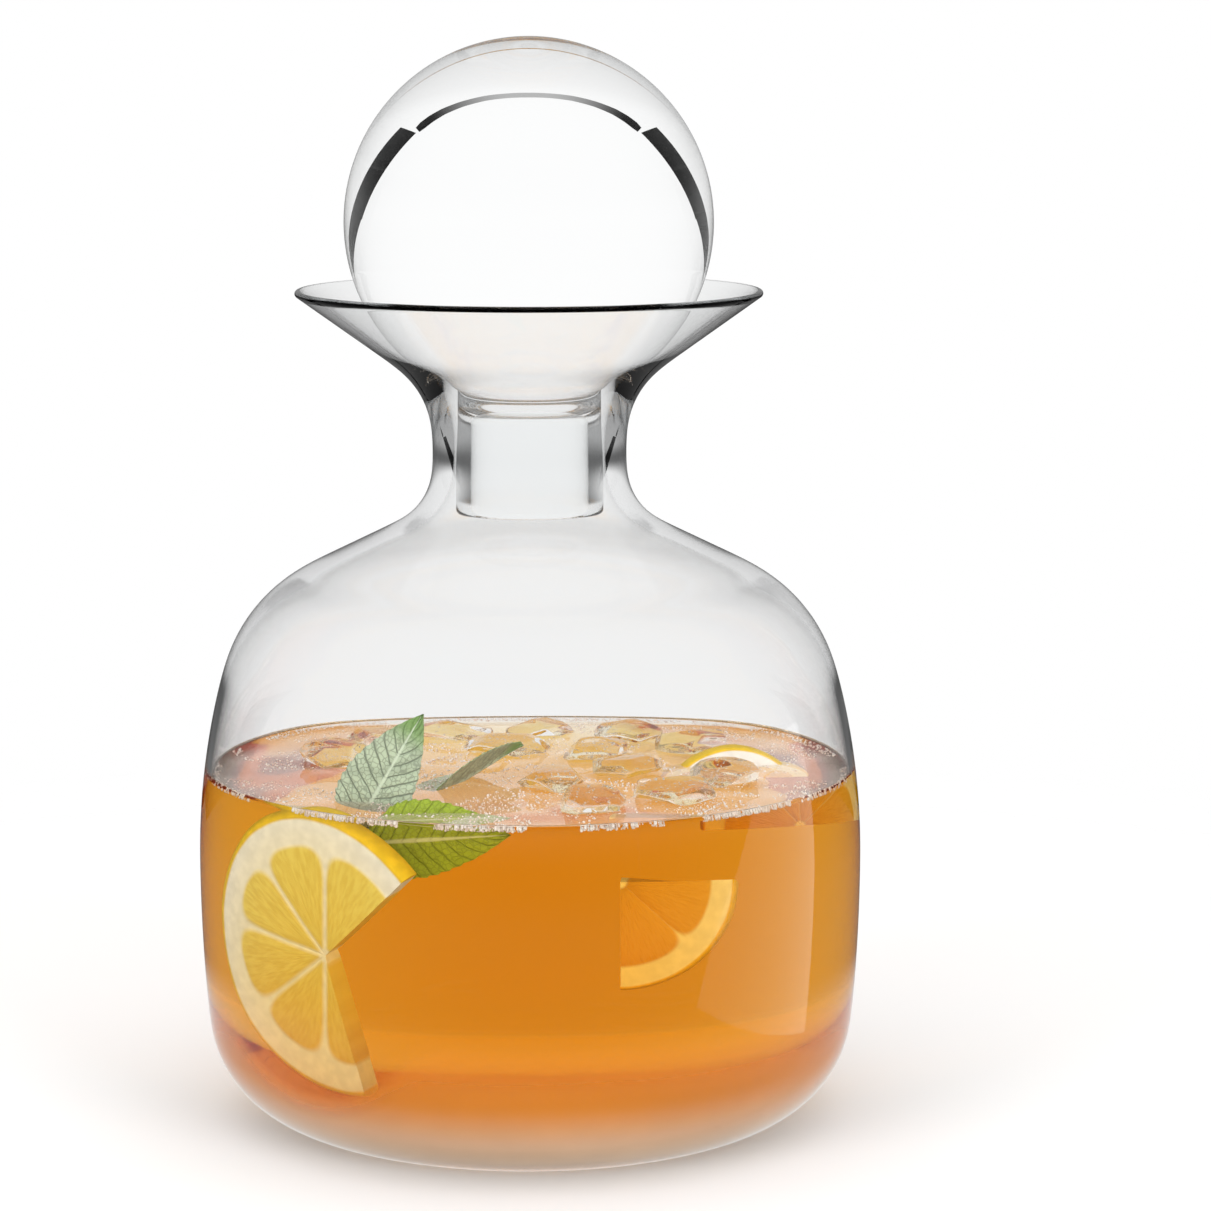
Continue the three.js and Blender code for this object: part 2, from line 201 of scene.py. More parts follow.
class CarafeIce(bpy.types.PropertyGroup):
    """Crushed ice."""

    facets: count("Facets", 10, "Broken faces on each piece")
    refraction: number("Refraction", 1.31, "Refractive index of the ice")
    tint: colour("Tint", (0.98, 0.985, 0.985), "Colour of the ice surface")
    seed: count("Seed", 11, "Start of the random shapes")


class CarafeStage(bpy.types.PropertyGroup):
    """Camera, floor, cards and lamps."""

    camera_distance: length("Camera distance", 863.45, "From the axis to the camera, level")
    camera_height: length("Camera height", 243.4, "Height of the camera above the foot")
    camera_pitch: angle("Camera pitch", 8.608, "How far the camera looks down")
    camera_turn: angle("Camera turn", 1.0937, "How far the camera looks to the right of the axis")
    camera_angle: angle("Camera angle", 17.216, "Field of view across the picture")
    floor_colour: colour("Floor", (0.96, 0.96, 0.96), "Colour of the floor")
    floor_radius: length("Floor radius", 420, "Radius of the floor, which fades into white")
    card_colour: colour("Card", (0.004, 0.004, 0.004), "Colour of the black cards beside the picture")
    card_light: number("Card light", 2.2, "Strength of the white card beside the glass")
    sky: number("Sky", 0.88, "Strength of the white world as light")
    mirrored_sky: number("Mirrored sky", 0.9, "Strength of the world above the floor as the glass mirrors it")
    mirrored_far_floor: number("Mirrored far floor", 0.14, "How strongly the glass mirrors the far floor")
    mirrored_floor: number("Mirrored floor", 0.42, "Strength of the near floor as the glass mirrors it")
    lamp: number("Lamp", 1.0, "Strength of the soft lamps")


# Nodes

class Value:
    """A socket of a node tree. The operators add Math nodes."""

    def __init__(self, nodes, socket):
        self.nodes = nodes
        self.socket = socket

    def of(self, output):
        """Another output of the same node."""
        return Value(self.nodes, self.socket.node.outputs[output])

    def math(self, operation, *others):
        return self.nodes.node("ShaderNodeMath", {"operation": operation}, dict(enumerate((self, *others))))

    def __add__(self, other):
        return self.math("ADD", other)

    __radd__ = __add__

    def __mul__(self, other):
        return self.math("MULTIPLY", other)

    __rmul__ = __mul__

    def __sub__(self, other):
        return self.math("SUBTRACT", other)

    def __rsub__(self, other):
        return self.nodes.node("ShaderNodeMath", {"operation": "SUBTRACT"}, {0: other, 1: self})

    def __truediv__(self, other):
        return self.math("DIVIDE", other)

    def __pow__(self, other):
        return self.math("POWER", other)

    def __abs__(self):
        return self.math("ABSOLUTE")

    def least(self, other):
        return self.math("MINIMUM", other)

    def most(self, other):
        return self.math("MAXIMUM", other)

    def rise(self, start, end):
        """0 before start, 1 after end, with a smooth rise between them; start may be the larger."""
        if start > end:
            return 1 - self.rise(end, start)
        return self.nodes.node(
            "ShaderNodeMapRange",
            {"interpolation_type": "SMOOTHSTEP"},
            {"Value": self, "From Min": start, "From Max": end},
        )


class Nodes:
    """Adds nodes to one tree, all of them through one method."""

    def __init__(self, tree):
        self.tree = tree
        tree.nodes.clear()

    def node(self, kind, settings=None, sockets=None):
        """A node of a type, with its settings, then its sockets' values or links; gives its first output."""
        node = self.tree.nodes.new(kind)
        for name, value in (settings or {}).items():
            setattr(node, name, value)
        for name, value in (sockets or {}).items():
            if isinstance(value, Value):
                self.tree.links.new(value.socket, node.inputs[name])
            elif isinstance(value, (tuple, list)) and node.inputs[name].type == "RGBA" and len(value) == 3:
                node.inputs[name].default_value = (*value, 1)
            else:
                node.inputs[name].default_value = value
        return Value(self, node.outputs[0]) if node.outputs else None

    def blend(self, factor, first, second):
        """One colour over another by a factor."""
        return self.node("ShaderNodeMix", {"data_type": "RGBA"}, {0: factor, 6: first, 7: second}).of(2)

    def object_place(self):
        return self.node("ShaderNodeTexCoord").of("Object")

    def parts(self, vector):
        """X, Y and Z of a vector."""
        split = self.node("ShaderNodeSeparateXYZ", {}, {0: vector})
        return [split.of(axis) for axis in "XYZ"]

    def principled(self, sockets):
        return self.node("ShaderNodeBsdfPrincipled", {}, sockets)

    def clear(self, shade=1.0):
        return self.node("ShaderNodeBsdfTransparent", {}, {"Color": [shade] * 3})

    def mix(self, factor, first, second):
        """One shader over another by a factor."""
        return self.node("ShaderNodeMixShader", {}, {0: factor, 1: first, 2: second})

    def noise(self, place, scale, detail=2.0):
        return self.node("ShaderNodeTexNoise", {}, {"Vector": place, "Scale": scale, "Detail": detail})

    def bump(self, height, distance, strength=1.0):
        return self.node("ShaderNodeBump", {}, {"Height": height, "Distance": distance, "Strength": strength})

    def clear_to_light(self, surface, shade):
        """The surface, which lets the lamps' light through as a clear pane does."""
        ray = self.node("ShaderNodeLightPath").of("Is Shadow Ray")
        return self.mix(ray, surface, self.clear(shade))

    def finish(self, surface, volume=None):
        sockets = {"Surface": surface}
        if volume:
            sockets["Volume"] = volume
        self.node("ShaderNodeOutputMaterial", {}, sockets)


def from_middle(x, y):
    return (x * x + y * y).math("SQRT")


def new_material(name):
    material = bpy.data.materials.new(name)
    material.use_nodes = True
    return material, Nodes(material.node_tree)


WET_FADE = 1 * MM
DREGS_BLUR = 0.15


def clear_material(
    name, tint, refraction, wave, shade, glare=1.0, depth=None, bloom=0.0, wet=None, dregs=None,
):
    """Clear glass, water or ice with faint waves, less or more glare face on, a colour that deep places take,
    a pale bloom along its edges, a height up to which a drink wets it so that its surface shows no tint, and
    a height up to which dregs blur its underside."""
    material, nodes = new_material(name)
    height, scale = wave
    place = nodes.object_place()
    roughness = 0.0
    if dregs:
        roughness = DREGS_BLUR * nodes.parts(place)[2].rise(1.3 * dregs, dregs)
    if wet:
        dry = nodes.parts(place)[2].rise(wet - WET_FADE, wet + WET_FADE)
        tint = nodes.blend(dry, (1.0, 1.0, 1.0), tint)
    surface = nodes.principled({
        "Base Color": tint,
        "Roughness": roughness,
        "IOR": refraction,
        "Specular Tint": [glare] * 3,
        "Transmission Weight": 1.0,
        "Sheen Weight": bloom,
        "Sheen Roughness": 0.3,
        "Sheen Tint": (1.0, 0.88, 0.78),
        "Normal": nodes.bump(nodes.noise(place, scale, 1.0), height),
    })
    volume = None
    if depth:
        volume = nodes.node("ShaderNodeVolumeAbsorption", {}, {"Color": depth[0], "Density": depth[1]})
    nodes.finish(nodes.clear_to_light(surface, shade), volume)
    return material


# Making pieces

def add_object(name, data):
    added = bpy.data.objects.new(name, data)
    bpy.context.scene.collection.objects.link(added)
    return added


def add_piece(name, mesh, material, body, node=None):
    """A finished piece with its material, which rides on a body and stands for a node, whose part it hides."""
    mesh.materials.clear()
    mesh.materials.append(material)
    piece = add_object(name, mesh)
    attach(piece, body)
    if node:
        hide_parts(node)
    return piece


def mesh_of(shape, name, sharp=None):
    """A mesh from a bmesh, smooth apart from edges over an angle."""
    mesh = bpy.data.meshes.new(name)
    shape.to_mesh(mesh)
    shape.free()
    mesh.shade_smooth()
    if sharp:
        mesh.set_sharp_from_angle(angle=sharp)
    return mesh


def new_tree(name, inputs):
    """An empty Geometry Nodes tree with named inputs, and the identifier of each."""
    tree = bpy.data.node_groups.new(name, "GeometryNodeTree")
    kinds = {"Geometry": "NodeSocketGeometry", "Int": "NodeSocketInt",
             "Float": "NodeSocketFloat", "Material": "NodeSocketMaterial"}
    sockets = {
        label: tree.interface.new_socket(label, in_out="INPUT", socket_type=kinds[kind]).identifier
        for label, kind in inputs.items()
    }
    tree.interface.new_socket("Piece", in_out="OUTPUT", socket_type=kinds["Geometry"])
    return tree, sockets


def end_tree(nodes, geometry, material):
    geometry = nodes.node("GeometryNodeSetShadeSmooth", {}, {"Geometry": geometry})
    geometry = nodes.node("GeometryNodeRealizeInstances", {}, {"Geometry": geometry})
    geometry = nodes.node("GeometryNodeSetMaterial", {}, {"Geometry": geometry, "Material": material})
    nodes.node("NodeGroupOutput", {}, {"Piece": geometry})


def grown(name, start, tree, sockets, values):
    """The plain mesh that a tree makes from a start mesh."""
    holder = add_object(name + "_start", start)
    modifier = holder.modifiers.new(tree.name, "NODES")
    modifier.node_group = tree
    for label, value in values.items():
        modifier[sockets[label]] = value
    graph = bpy.context.evaluated_depsgraph_get()
    mesh = bpy.data.meshes.new_from_object(holder.evaluated_get(graph))
    mesh.name = name
    holder.modifiers.remove(modifier)
    bpy.data.objects.remove(holder)
    return mesh


def turning_tree():
    """Turns a profile, its points' X the radius and Z the height, about the axis."""
    tree, sockets = new_tree("Turned about the axis", {
        "Profile": "Geometry", "Turns": "Int", "Weld": "Float", "Material": "Material",
    })
    nodes = Nodes(tree)
    given = nodes.node("NodeGroupInput")
    profile = given.of("Profile")
    turns = given.of("Turns")
    points = nodes.node("GeometryNodeAttributeDomainSize", {"component": "MESH"}, {"Geometry": profile})
    grid = nodes.node("GeometryNodeMeshGrid", {}, {
        "Size X": 1.0, "Size Y": 1.0, "Vertices X": points.of("Point Count"), "Vertices Y": turns + 1,
    })
    index = nodes.node("GeometryNodeInputIndex")
    row = ((index + 0.5) / (turns + 1)).math("FLOOR")
    turn = (index - row * (turns + 1)) / turns * math.tau
    sample = nodes.node("GeometryNodeSampleIndex", {"data_type": "FLOAT_VECTOR"}, {
        "Geometry": profile, "Value": nodes.node("GeometryNodeInputPosition"), "Index": row,
    })
    radius, _, height = nodes.parts(sample)
    spot = nodes.node("ShaderNodeCombineXYZ", {}, {
        "X": radius * turn.math("COSINE"), "Y": radius * turn.math("SINE"), "Z": height,
    })
    shell = nodes.node("GeometryNodeSetPosition", {}, {"Geometry": grid, "Position": spot})
    shell = nodes.node("GeometryNodeMergeByDistance", {}, {"Geometry": shell, "Distance": given.of("Weld")})
    end_tree(nodes, shell, given.of("Material"))
    return tree, sockets


WELD = 1e-7


def turned(name, profile, turns, material):
    """The mesh of a profile of radius and height turned about the axis, faces outward."""
    start = bpy.data.meshes.new(name + "_profile")
    start.from_pydata([(radius, 0, height) for radius, height in profile], [], [])
    tree, sockets = turning_tree()
    mesh = grown(name, start, tree, sockets, {"Turns": turns, "Weld": WELD, "Material": material})
    shape = bmesh.new()
    shape.from_mesh(mesh)
    if shape.calc_volume(signed=True) < 0:
        bmesh.ops.reverse_faces(shape, faces=shape.faces)
    shape.to_mesh(mesh)
    shape.free()
    return mesh


# The outline of the glass

LARGEST_TURN = math.radians(4)
EASING_ROUNDS = 12


class GlassOutline:
    """The outer face as tangent arcs and lines. Each point keeps its lean and wall, for the inner face."""

    def __init__(self, radius, lean, wall, step):
        self.points = [(radius, 0.0, lean, wall)]
        self.step = step

    def line(self, reach, wall):
        radius, height, lean, first_wall = self.points[-1]
        steps = math.ceil(reach / self.step)
        for i in range(1, steps + 1):
            along = reach * i / steps
            thick = first_wall + (wall - first_wall) * i / steps
            self.points.append((
                radius + along * math.sin(lean),
                height + along * math.cos(lean),
                lean,
                thick,
            ))

    def line_to_radius(self, radius, wall):
        self.line((radius - self.points[-1][0]) / math.sin(self.points[-1][2]), wall)

    def arc(self, lean, arc_radius, wall):
        radius, height, first, first_wall = self.points[-1]
        bend = math.copysign(arc_radius, lean - first)
        steps = math.ceil(abs(lean - first) * max(arc_radius / self.step, 1 / LARGEST_TURN))
        for i in range(1, steps + 1):
            turn = first + (lean - first) * i / steps
            self.points.append((
                radius + bend * (math.cos(first) - math.cos(turn)),
                height + bend * (math.sin(turn) - math.sin(first)),
                turn,
                first_wall + (wall - first_wall) * i / steps,
            ))

    def ease(self, rounds):
        """Softens the change from one arc to the next."""
        for _ in range(rounds):
            middle = [
                tuple((a + 2 * b + c) / 4 for a, b, c in zip(*three))
                for three in zip(self.points, self.points[1:], self.points[2:])
            ]
            self.points = [self.points[0], *middle, self.points[-1]]

    def outer_face(self):
        return [(radius, height) for radius, height, _, _ in self.points]

    def inner_face(self, gap=0.0):
        return [
            (radius - (wall + gap) * math.cos(lean), height + (wall + gap) * math.sin(lean))
            for radius, height, lean, wall in self.points
        ]

    def inside_radius(self, height, gap):
        """Radius of the inner face at a height in the body, less a gap."""
        face = self.inner_face(gap)
        for (low, low_height), (high, high_height) in zip(face, face[1:]):
            if low_height <= height <= high_height:
                return low + (high - low) * (height - low_height) / (high_height - low_height)
        raise ValueError("no glass at height %f" % height)


def glass_outline(glass):
    foot = (
        glass.body_radius
        - glass.lower_side * (1 - math.cos(glass.lower_lean))
        - glass.foot_corner * math.cos(glass.lower_lean)
    )
    fillet_reach = glass.neck_fillet * (1 - math.cos(glass.shoulder_lean))
    rim_inset = glass.rim_wall / 2 * (1 - math.cos(glass.funnel_lean))
    outline = GlassOutline(foot, math.pi / 2, glass.foot_wall, glass.step)
    outline.arc(glass.lower_lean, glass.foot_corner, glass.side_wall)
    outline.arc(0, glass.lower_side, glass.side_wall)
    outline.arc(-glass.upper_lean, glass.upper_side, glass.side_wall)
    outline.arc(-glass.shoulder_lean, glass.shoulder, glass.shoulder_wall)
    outline.line_to_radius(glass.neck_radius + fillet_reach, glass.shoulder_wall)
    outline.arc(0, glass.neck_fillet, glass.neck_wall)
    outline.line(glass.neck_height, glass.neck_wall)
    outline.arc(glass.funnel_lean, glass.funnel_fillet, glass.funnel_wall)
    outline.line_to_radius(glass.rim_radius - rim_inset, glass.rim_wall)
    outline.ease(EASING_ROUNDS)
    return outline


def rounded_edge(first, last, steps=10):
    """Points of a half circle from one corner to another, turning counterclockwise."""
    middle = (Vector(first) + Vector(last)) / 2
    arm = Vector(first) - middle
    points = []
    for i in range(1, steps):
        turn = math.pi * i / steps
        points.append((
            middle.x + arm.x * math.cos(turn) - arm.y * math.sin(turn),
            middle.y + arm.x * math.sin(turn) + arm.y * math.cos(turn),
        ))
    return points


def spread(first, last, steps):
    """Points of a straight line after its first one, without its last one."""
    return [
        tuple(a + (b - a) * i / steps for a, b in zip(first, last))
        for i in range(1, steps)
    ]


# Places of the lemon and mint

def around(radius, azimuth, height):
    return Vector((radius * math.cos(azimuth), radius * math.sin(azimuth), height))


def frame_at(point, x_way, z_way):
    """A frame at a point, from the way its X runs and the way its Z faces."""
    z_axis = z_way.normalized()
    y_axis = z_axis.cross(x_way).normalized()
    matrix = Matrix((y_axis.cross(z_axis), y_axis, z_axis)).transposed().to_4x4()
    matrix.translation = point
    return matrix


CONTENTS_GAP = 0.3 * MM
SURFACE_BREAK = 0.8 * MM


def slice_ring(scene):
    """Distance of the slice's middle from the axis, as far out as the glass lets it lean."""
    lemon = scene.carafe_lemon
    room = glass_outline(scene.carafe_glass).inside_radius(TEA_LEVEL, 2 * CONTENTS_GAP)
    reach = math.sqrt(room ** 2 - (lemon.radius + CONTENTS_GAP) ** 2)
    return math.cos(lemon.slice_tilt) * reach - lemon.thickness / 2 - CONTENTS_GAP


def slice_middle(scene):
    """Middle of the leaning slice, whose rim breaks the surface."""
    lemon = scene.carafe_lemon
    height = TEA_LEVEL + SURFACE_BREAK - lemon.radius * math.cos(lemon.slice_tilt)
    return around(slice_ring(scene), lemon.slice_azimuth, height)


# Operators

FOOT_STEPS = 16


class CARAFE_OT_bottle(bpy.types.Operator):
    """Turn the bottle's glass"""

    bl_idname = "carafe.bottle"
    bl_label = "Bottle"

    def execute(self, context):
        glass = context.scene.carafe_glass
        outline = glass_outline(glass)
        outer = outline.outer_face()
        inner = outline.inner_face()
        floor = (0, glass.foot_wall)
        profile = [(0, 0), *spread((0, 0), outer[0], FOOT_STEPS), *outer, *rounded_edge(outer[-1], inner[-1])]
        profile += [*reversed(inner), *spread(inner[0], floor, FOOT_STEPS), floor]
        material = clear_material(
            "bottle_glass", glass.tint[:], glass.refraction, wave=(glass.waviness, 26.0), shade=0.92,
            glare=glass.glare, depth=(glass.smoke[:], glass.smoke_depth), wet=TEA_LEVEL,
        )
        mesh = turned("carafe_bottle_glass", profile, glass.turns, material)
        add_piece("carafe_bottle_glass", mesh, material, "bottle", "carafe_bottle")
        return {"FINISHED"}


BORE_TOP_STEPS = 6
BORE_ROUND_STEPS = 12
BORE_SIDE_STEPS = 10
PEG_STEPS = 12
FILLET_STEPS = 8
BALL_STEPS = 120


class CARAFE_OT_stopper(bpy.types.Operator):
    """Turn the ball stopper"""

    bl_idname = "carafe.stopper"
    bl_label = "Stopper"

    def execute(self, context):
        glass = context.scene.carafe_glass
        stopper = context.scene.carafe_stopper
        ball = stopper.ball_radius
        peg = stopper.peg_radius
        bore = peg - stopper.peg_wall
        middle = BALL_BOX[1].z - ball
        peg_end = BALL_BOX[0].z
        bore_top = peg_end + stopper.bore_depth
        rounding = stopper.bore_rounding
        profile = [(0, bore_top), *spread((0, bore_top), (bore - rounding, bore_top), BORE_TOP_STEPS)]
        for i in range(BORE_ROUND_STEPS + 1):
            turn = math.pi / 2 * i / BORE_ROUND_STEPS
            profile.append((
                bore - rounding * (1 - math.sin(turn)),
                bore_top - rounding * (1 - math.cos(turn)),
            ))
        mouth = (bore, peg_end + stopper.peg_wall / 2)
        side = (peg, peg_end + stopper.peg_wall / 2)
        profile += [*spread(profile[-1], mouth, BORE_SIDE_STEPS), mouth, *rounded_edge(mouth, side), side]

        # The fillet's circle touches the peg's side and the ball from outside.
        fillet = stopper.fillet
        fillet_radius = peg + fillet
        fillet_height = middle - math.sqrt((ball + fillet) ** 2 - fillet_radius ** 2)
        touch = math.atan2(middle - fillet_height, -fillet_radius)
        profile += spread(side, (peg, fillet_height), PEG_STEPS)
        for i in range(FILLET_STEPS + 1):
            turn = math.pi + (touch - math.pi) * i / FILLET_STEPS
            profile.append((fillet_radius + fillet * math.cos(turn), fillet_height + fillet * math.sin(turn)))
        start = math.atan2(fillet_radius, middle - fillet_height)
        for i in range(1, BALL_STEPS):
            turn = start + (math.pi - start) * i / BALL_STEPS
            profile.append((ball * math.sin(turn), middle - ball * math.cos(turn)))
        profile.append((0, middle + ball))
        material = clear_material(
            "stopper_glass", stopper.tint[:], glass.refraction, wave=(glass.waviness / 2, 14.0), shade=0.94,
            glare=glass.glare,
        )
        mesh = turned("ball_stopper_glass", profile, glass.turns, material)
        add_piece("ball_stopper_glass", mesh, material, "stopper", "ball_stopper")
        return {"FINISHED"}


DREGS_UNDER_TEA = 6.3 * MM
TEA_FOOT_STEPS = 14
TEA_EDGE_STEPS = 12
TEA_EDGE_STEP = 0.45 * MM
TEA_TOP_STEPS = 60
TEA_TOP_GAP = 0.3 * MM
LEVEL_SLACK = 0.01 * MM
CALM_EDGE = 1.5 * MM
RIPPLES = 90
ICE_CLIMB = 0.7 * MM
ICE_CLIMB_WIDTH = 1.1 * MM
ICE_SHARE = 0.42


def ice_rise(x, y, middles):
    """How far the tea climbs beside the nearest ice."""
    climb = 0.0
    for middle, radius in middles:
        beyond = math.hypot(x - middle.x, y - middle.y) - radius
        climb = max(climb, math.exp(-max(beyond, 0) / ICE_CLIMB_WIDTH))
    return ICE_CLIMB * climb


class CARAFE_OT_tea(bpy.types.Operator):
    """Pour the iced tea"""

    bl_idname = "carafe.tea"
    bl_label = "Tea"

    def execute(self, context):
        glass = context.scene.carafe_glass
        tea = context.scene.carafe_tea
        outline = glass_outline(glass)
        top = TEA_LEVEL + tea.climb
        wall = [point for point in outline.inner_face(-tea.wall_lap) if point[1] < top - TEA_TOP_GAP]
        edge = outline.inside_radius(top, -tea.wall_lap)
        profile = [(0, wall[0][1]), *spread((0, wall[0][1]), wall[0], TEA_FOOT_STEPS), *wall, (edge, top)]
        for i in range(1, TEA_EDGE_STEPS + 1):
            inward = TEA_EDGE_STEP * i
            profile.append((edge - inward, TEA_LEVEL + tea.climb * math.exp(-inward / tea.climb_width)))
        profile += [*spread(profile[-1], (0, TEA_LEVEL), TEA_TOP_STEPS), (0, TEA_LEVEL)]
        material = clear_material(
            "iced_tea", (1.0, 1.0, 1.0), tea.refraction, wave=(0.03 * MM, 120.0), shade=1.0,
            glare=glass.glare, depth=(tea.colour[:], tea.strength), bloom=tea.bloom, dregs=DREGS_UNDER_TEA,
        )
        mesh = turned("iced_tea_drink", profile, glass.turns, material)
        boxes = [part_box(name) for name in ICE_NODES]
        middles = [((low + high) / 2, ICE_SHARE * (high.x - low.x)) for low, high in boxes]
        for vertex in mesh.vertices:
            x, y, z = vertex.co
            if z > TEA_LEVEL - LEVEL_SLACK and math.hypot(x, y) < edge - CALM_EDGE:
                ripple = tea.ripple * noise.noise((RIPPLES * x, RIPPLES * y, 0.5))
                vertex.co.z += ripple + ice_rise(x, y, middles)
        mesh.update()
        add_piece("iced_tea_drink", mesh, material, "bottle", "iced_tea")
        return {"FINISHED"}


DREGS_GAP = 0.3 * MM
DREGS_LAYER = 0.2 * MM
DREGS_TURNS = 90
DREGS_INSET = 10 * MM
DREGS_SLICE_FADE = 6 * MM
DREGS_BACK = 12 * MM
DREGS_FRONT = -30 * MM
DREGS_INNER_RADIUS = 47 * MM
DREGS_FULL_RADIUS = 58 * MM
DREGS_PALE_HEIGHT = 3 * MM
DREGS_DEEP_HEIGHT = 20 * MM


def dregs_and_painted_light_material(name, scene, low_tone, high_tone, inset):
    """Fine dregs low on the photographed side, thinner higher up and clear of the leaning slice. Their tone
    from the foot up is painted light: a pale foot for light coming up through the base, and amber above for
    the lit tea.
    """
    material, nodes = new_material(name)
    place = nodes.object_place()
    cloud = nodes.noise(place, 45.0, 3.0)
    x, y, height = nodes.parts(place)
    from_slice = nodes.node(
        "ShaderNodeVectorMath", {"operation": "DISTANCE"}, {0: place, 1: slice_middle(scene)},
    ).of("Value")
    slice_edge = scene.carafe_lemon.radius - 1 * MM + inset / 2
    beside_slice = from_slice.rise(slice_edge, slice_edge + DREGS_SLICE_FADE)
    top = scene.carafe_tea.dregs - inset
    in_front = y.rise(DREGS_BACK - inset, DREGS_FRONT - inset)
    off_bottom = from_middle(x, y).rise(DREGS_INNER_RADIUS, DREGS_FULL_RADIUS)
    dregs_and_painted_light_cover = height.rise(top, 0.45 * top) * in_front * off_bottom * beside_slice
    nodes.finish(nodes.principled({
        # Painted light: the tone runs from the pale foot, lit through the base, to the lit tea's amber higher
        # up.
        "Base Color": nodes.blend(height.rise(DREGS_PALE_HEIGHT, DREGS_DEEP_HEIGHT), low_tone, high_tone),
        "Roughness": 0.6 + 0.2 * cloud,
        "Alpha": dregs_and_painted_light_cover * (0.75 + 0.3 * cloud).least(1),
    }))
    return material


class CARAFE_OT_dregs(bpy.types.Operator):
    """Settle fine dregs on the glass, their tone painted light from a pale foot to the lit tea's amber, with a
    pale inner layer painted as lit from behind
    """

    bl_idname = "carafe.dregs"
    bl_label = "Dregs"

    def execute(self, context):
        tea = context.scene.carafe_tea
        outline = glass_outline(context.scene.carafe_glass)
        # The inner layer's pale colour is painted light, so the dregs look lit from behind, through the tea.
        pale = tea.dregs_inside_painted_light[:]
        for name, gap, low_tone, high_tone, inset in (
            # The outer film's tones are painted light, from the pale foot to the lit tea's amber.
            ("tea_dregs", DREGS_GAP, tea.dregs_and_foot_light[:], tea.upper_dregs_and_tea_light[:], 0),
            ("tea_dregs_inside", 2 * DREGS_GAP, pale, pale, DREGS_INSET),
        ):
            under = [point for point in outline.inner_face(gap) if point[1] < tea.dregs]
            over = outline.inner_face(gap + DREGS_LAYER)[:len(under)]
            low, high = (0, under[0][1]), (0, over[0][1])
            profile = [low, *spread(low, under[0], TEA_FOOT_STEPS), *under]
            profile += [*reversed(over), *spread(over[0], high, TEA_FOOT_STEPS), high]
            material = dregs_and_painted_light_material(name, context.scene, low_tone, high_tone, inset)
            mesh = turned(name, profile, DREGS_TURNS, material)
            add_piece(name, mesh, material, "bottle")
        return {"FINISHED"}


def froth_tree():
    """Bubbles in clusters over a surface."""
    tree, sockets = new_tree("Froth over a surface", {
        "Surface": "Geometry", "Density": "Float", "Largest": "Float", "Gaps": "Float", "Faces": "Int",
        "Seed": "Int", "Material": "Material",
    })
    nodes = Nodes(tree)
    given = nodes.node("NodeGroupInput")
    seed = given.of("Seed")
    points = nodes.node("GeometryNodeDistributePointsOnFaces", {}, {
        "Mesh": given.of("Surface"), "Density": given.of("Density"), "Seed": seed,
    })
    clusters = nodes.noise(nodes.node("GeometryNodeInputPosition"), 55.0, 3.0)
    gaps = nodes.node("FunctionNodeCompare", {"operation": "LESS_THAN"}, {0: clusters, 1: given.of("Gaps")})
    points = nodes.node("GeometryNodeDeleteGeometry", {}, {"Geometry": points, "Selection": gaps})
    chance = nodes.node("FunctionNodeRandomValue", {"data_type": "FLOAT"}, {"Seed": seed + 1}).of(1)
    size = given.of("Largest") * (0.3 + 0.7 * chance ** 3)
    ball = nodes.node("GeometryNodeMeshIcoSphere", {}, {"Radius": 1.0, "Subdivisions": given.of("Faces")})
    froth = nodes.node("GeometryNodeInstanceOnPoints", {}, {
        "Points": points, "Instance": ball, "Scale": size,
    })
    end_tree(nodes, froth, given.of("Material"))
    return tree, sockets


def ring_mesh(name, inner, outer, steps=120):
    """A ring of faces between an inner and an outer radius and height."""
    points = []
    for i in range(steps):
        points += [around(radius, math.tau * i / steps, height) for radius, height in (inner, outer)]
    faces = []
    for i in range(steps):
        first, second = 2 * i, 2 * ((i + 1) % steps)
        faces.append((first, first + 1, second + 1, second))
    mesh = bpy.data.meshes.new(name)
    mesh.from_pydata(points, [], faces)
    return mesh


def froth_material(tea):
    """Pale bubbles, some tinted by the tea."""
    material, nodes = new_material("froth")
    mottle = nodes.noise(nodes.object_place(), 300.0, 2.0)
    nodes.finish(nodes.principled({
        "Base Color": nodes.blend(mottle.rise(0.35, 0.65), tea.froth[:], (0.95, 0.88, 0.82)),
        "Roughness": 0.18 + 0.1 * mottle,
        "Coat Weight": 0.5,
    }))
    return material


class CARAFE_OT_froth(bpy.types.Operator):
    """Set bubbles along the edge of the tea and over its surface"""

    bl_idname = "carafe.froth"
    bl_label = "Froth"

    def execute(self, context):
        tea = context.scene.carafe_tea
        outline = glass_outline(context.scene.carafe_glass)
        low = outline.inside_radius(TEA_LEVEL, 0.0)
        top = TEA_LEVEL + tea.climb
        tree, sockets = froth_tree()
        material = froth_material(tea)
        for name, inner, outer, density, largest, gaps, faces in (
            ("tea_froth_edge", (low - 2.0 * MM, TEA_LEVEL + 0.2 * MM), (low - 0.7 * MM, top - 0.8 * MM),
             tea.edge_bubbles, tea.edge_bubble_size, 0.41, 2),
            ("tea_froth_skin", (1.0 * MM, TEA_LEVEL + 0.05 * MM), (low - 2.5 * MM, TEA_LEVEL + 0.05 * MM),
             tea.skin_bubbles, tea.skin_bubble_size, 0.45, 1),
        ):
            mesh = grown(name, ring_mesh(name + "_start", inner, outer), tree, sockets, {
                "Density": density / MM ** 2, "Largest": largest, "Gaps": gaps, "Faces": faces,
                "Seed": tea.seed, "Material": material,
            })
            add_piece(name, mesh, material, "bottle")
        return {"FINISHED"}


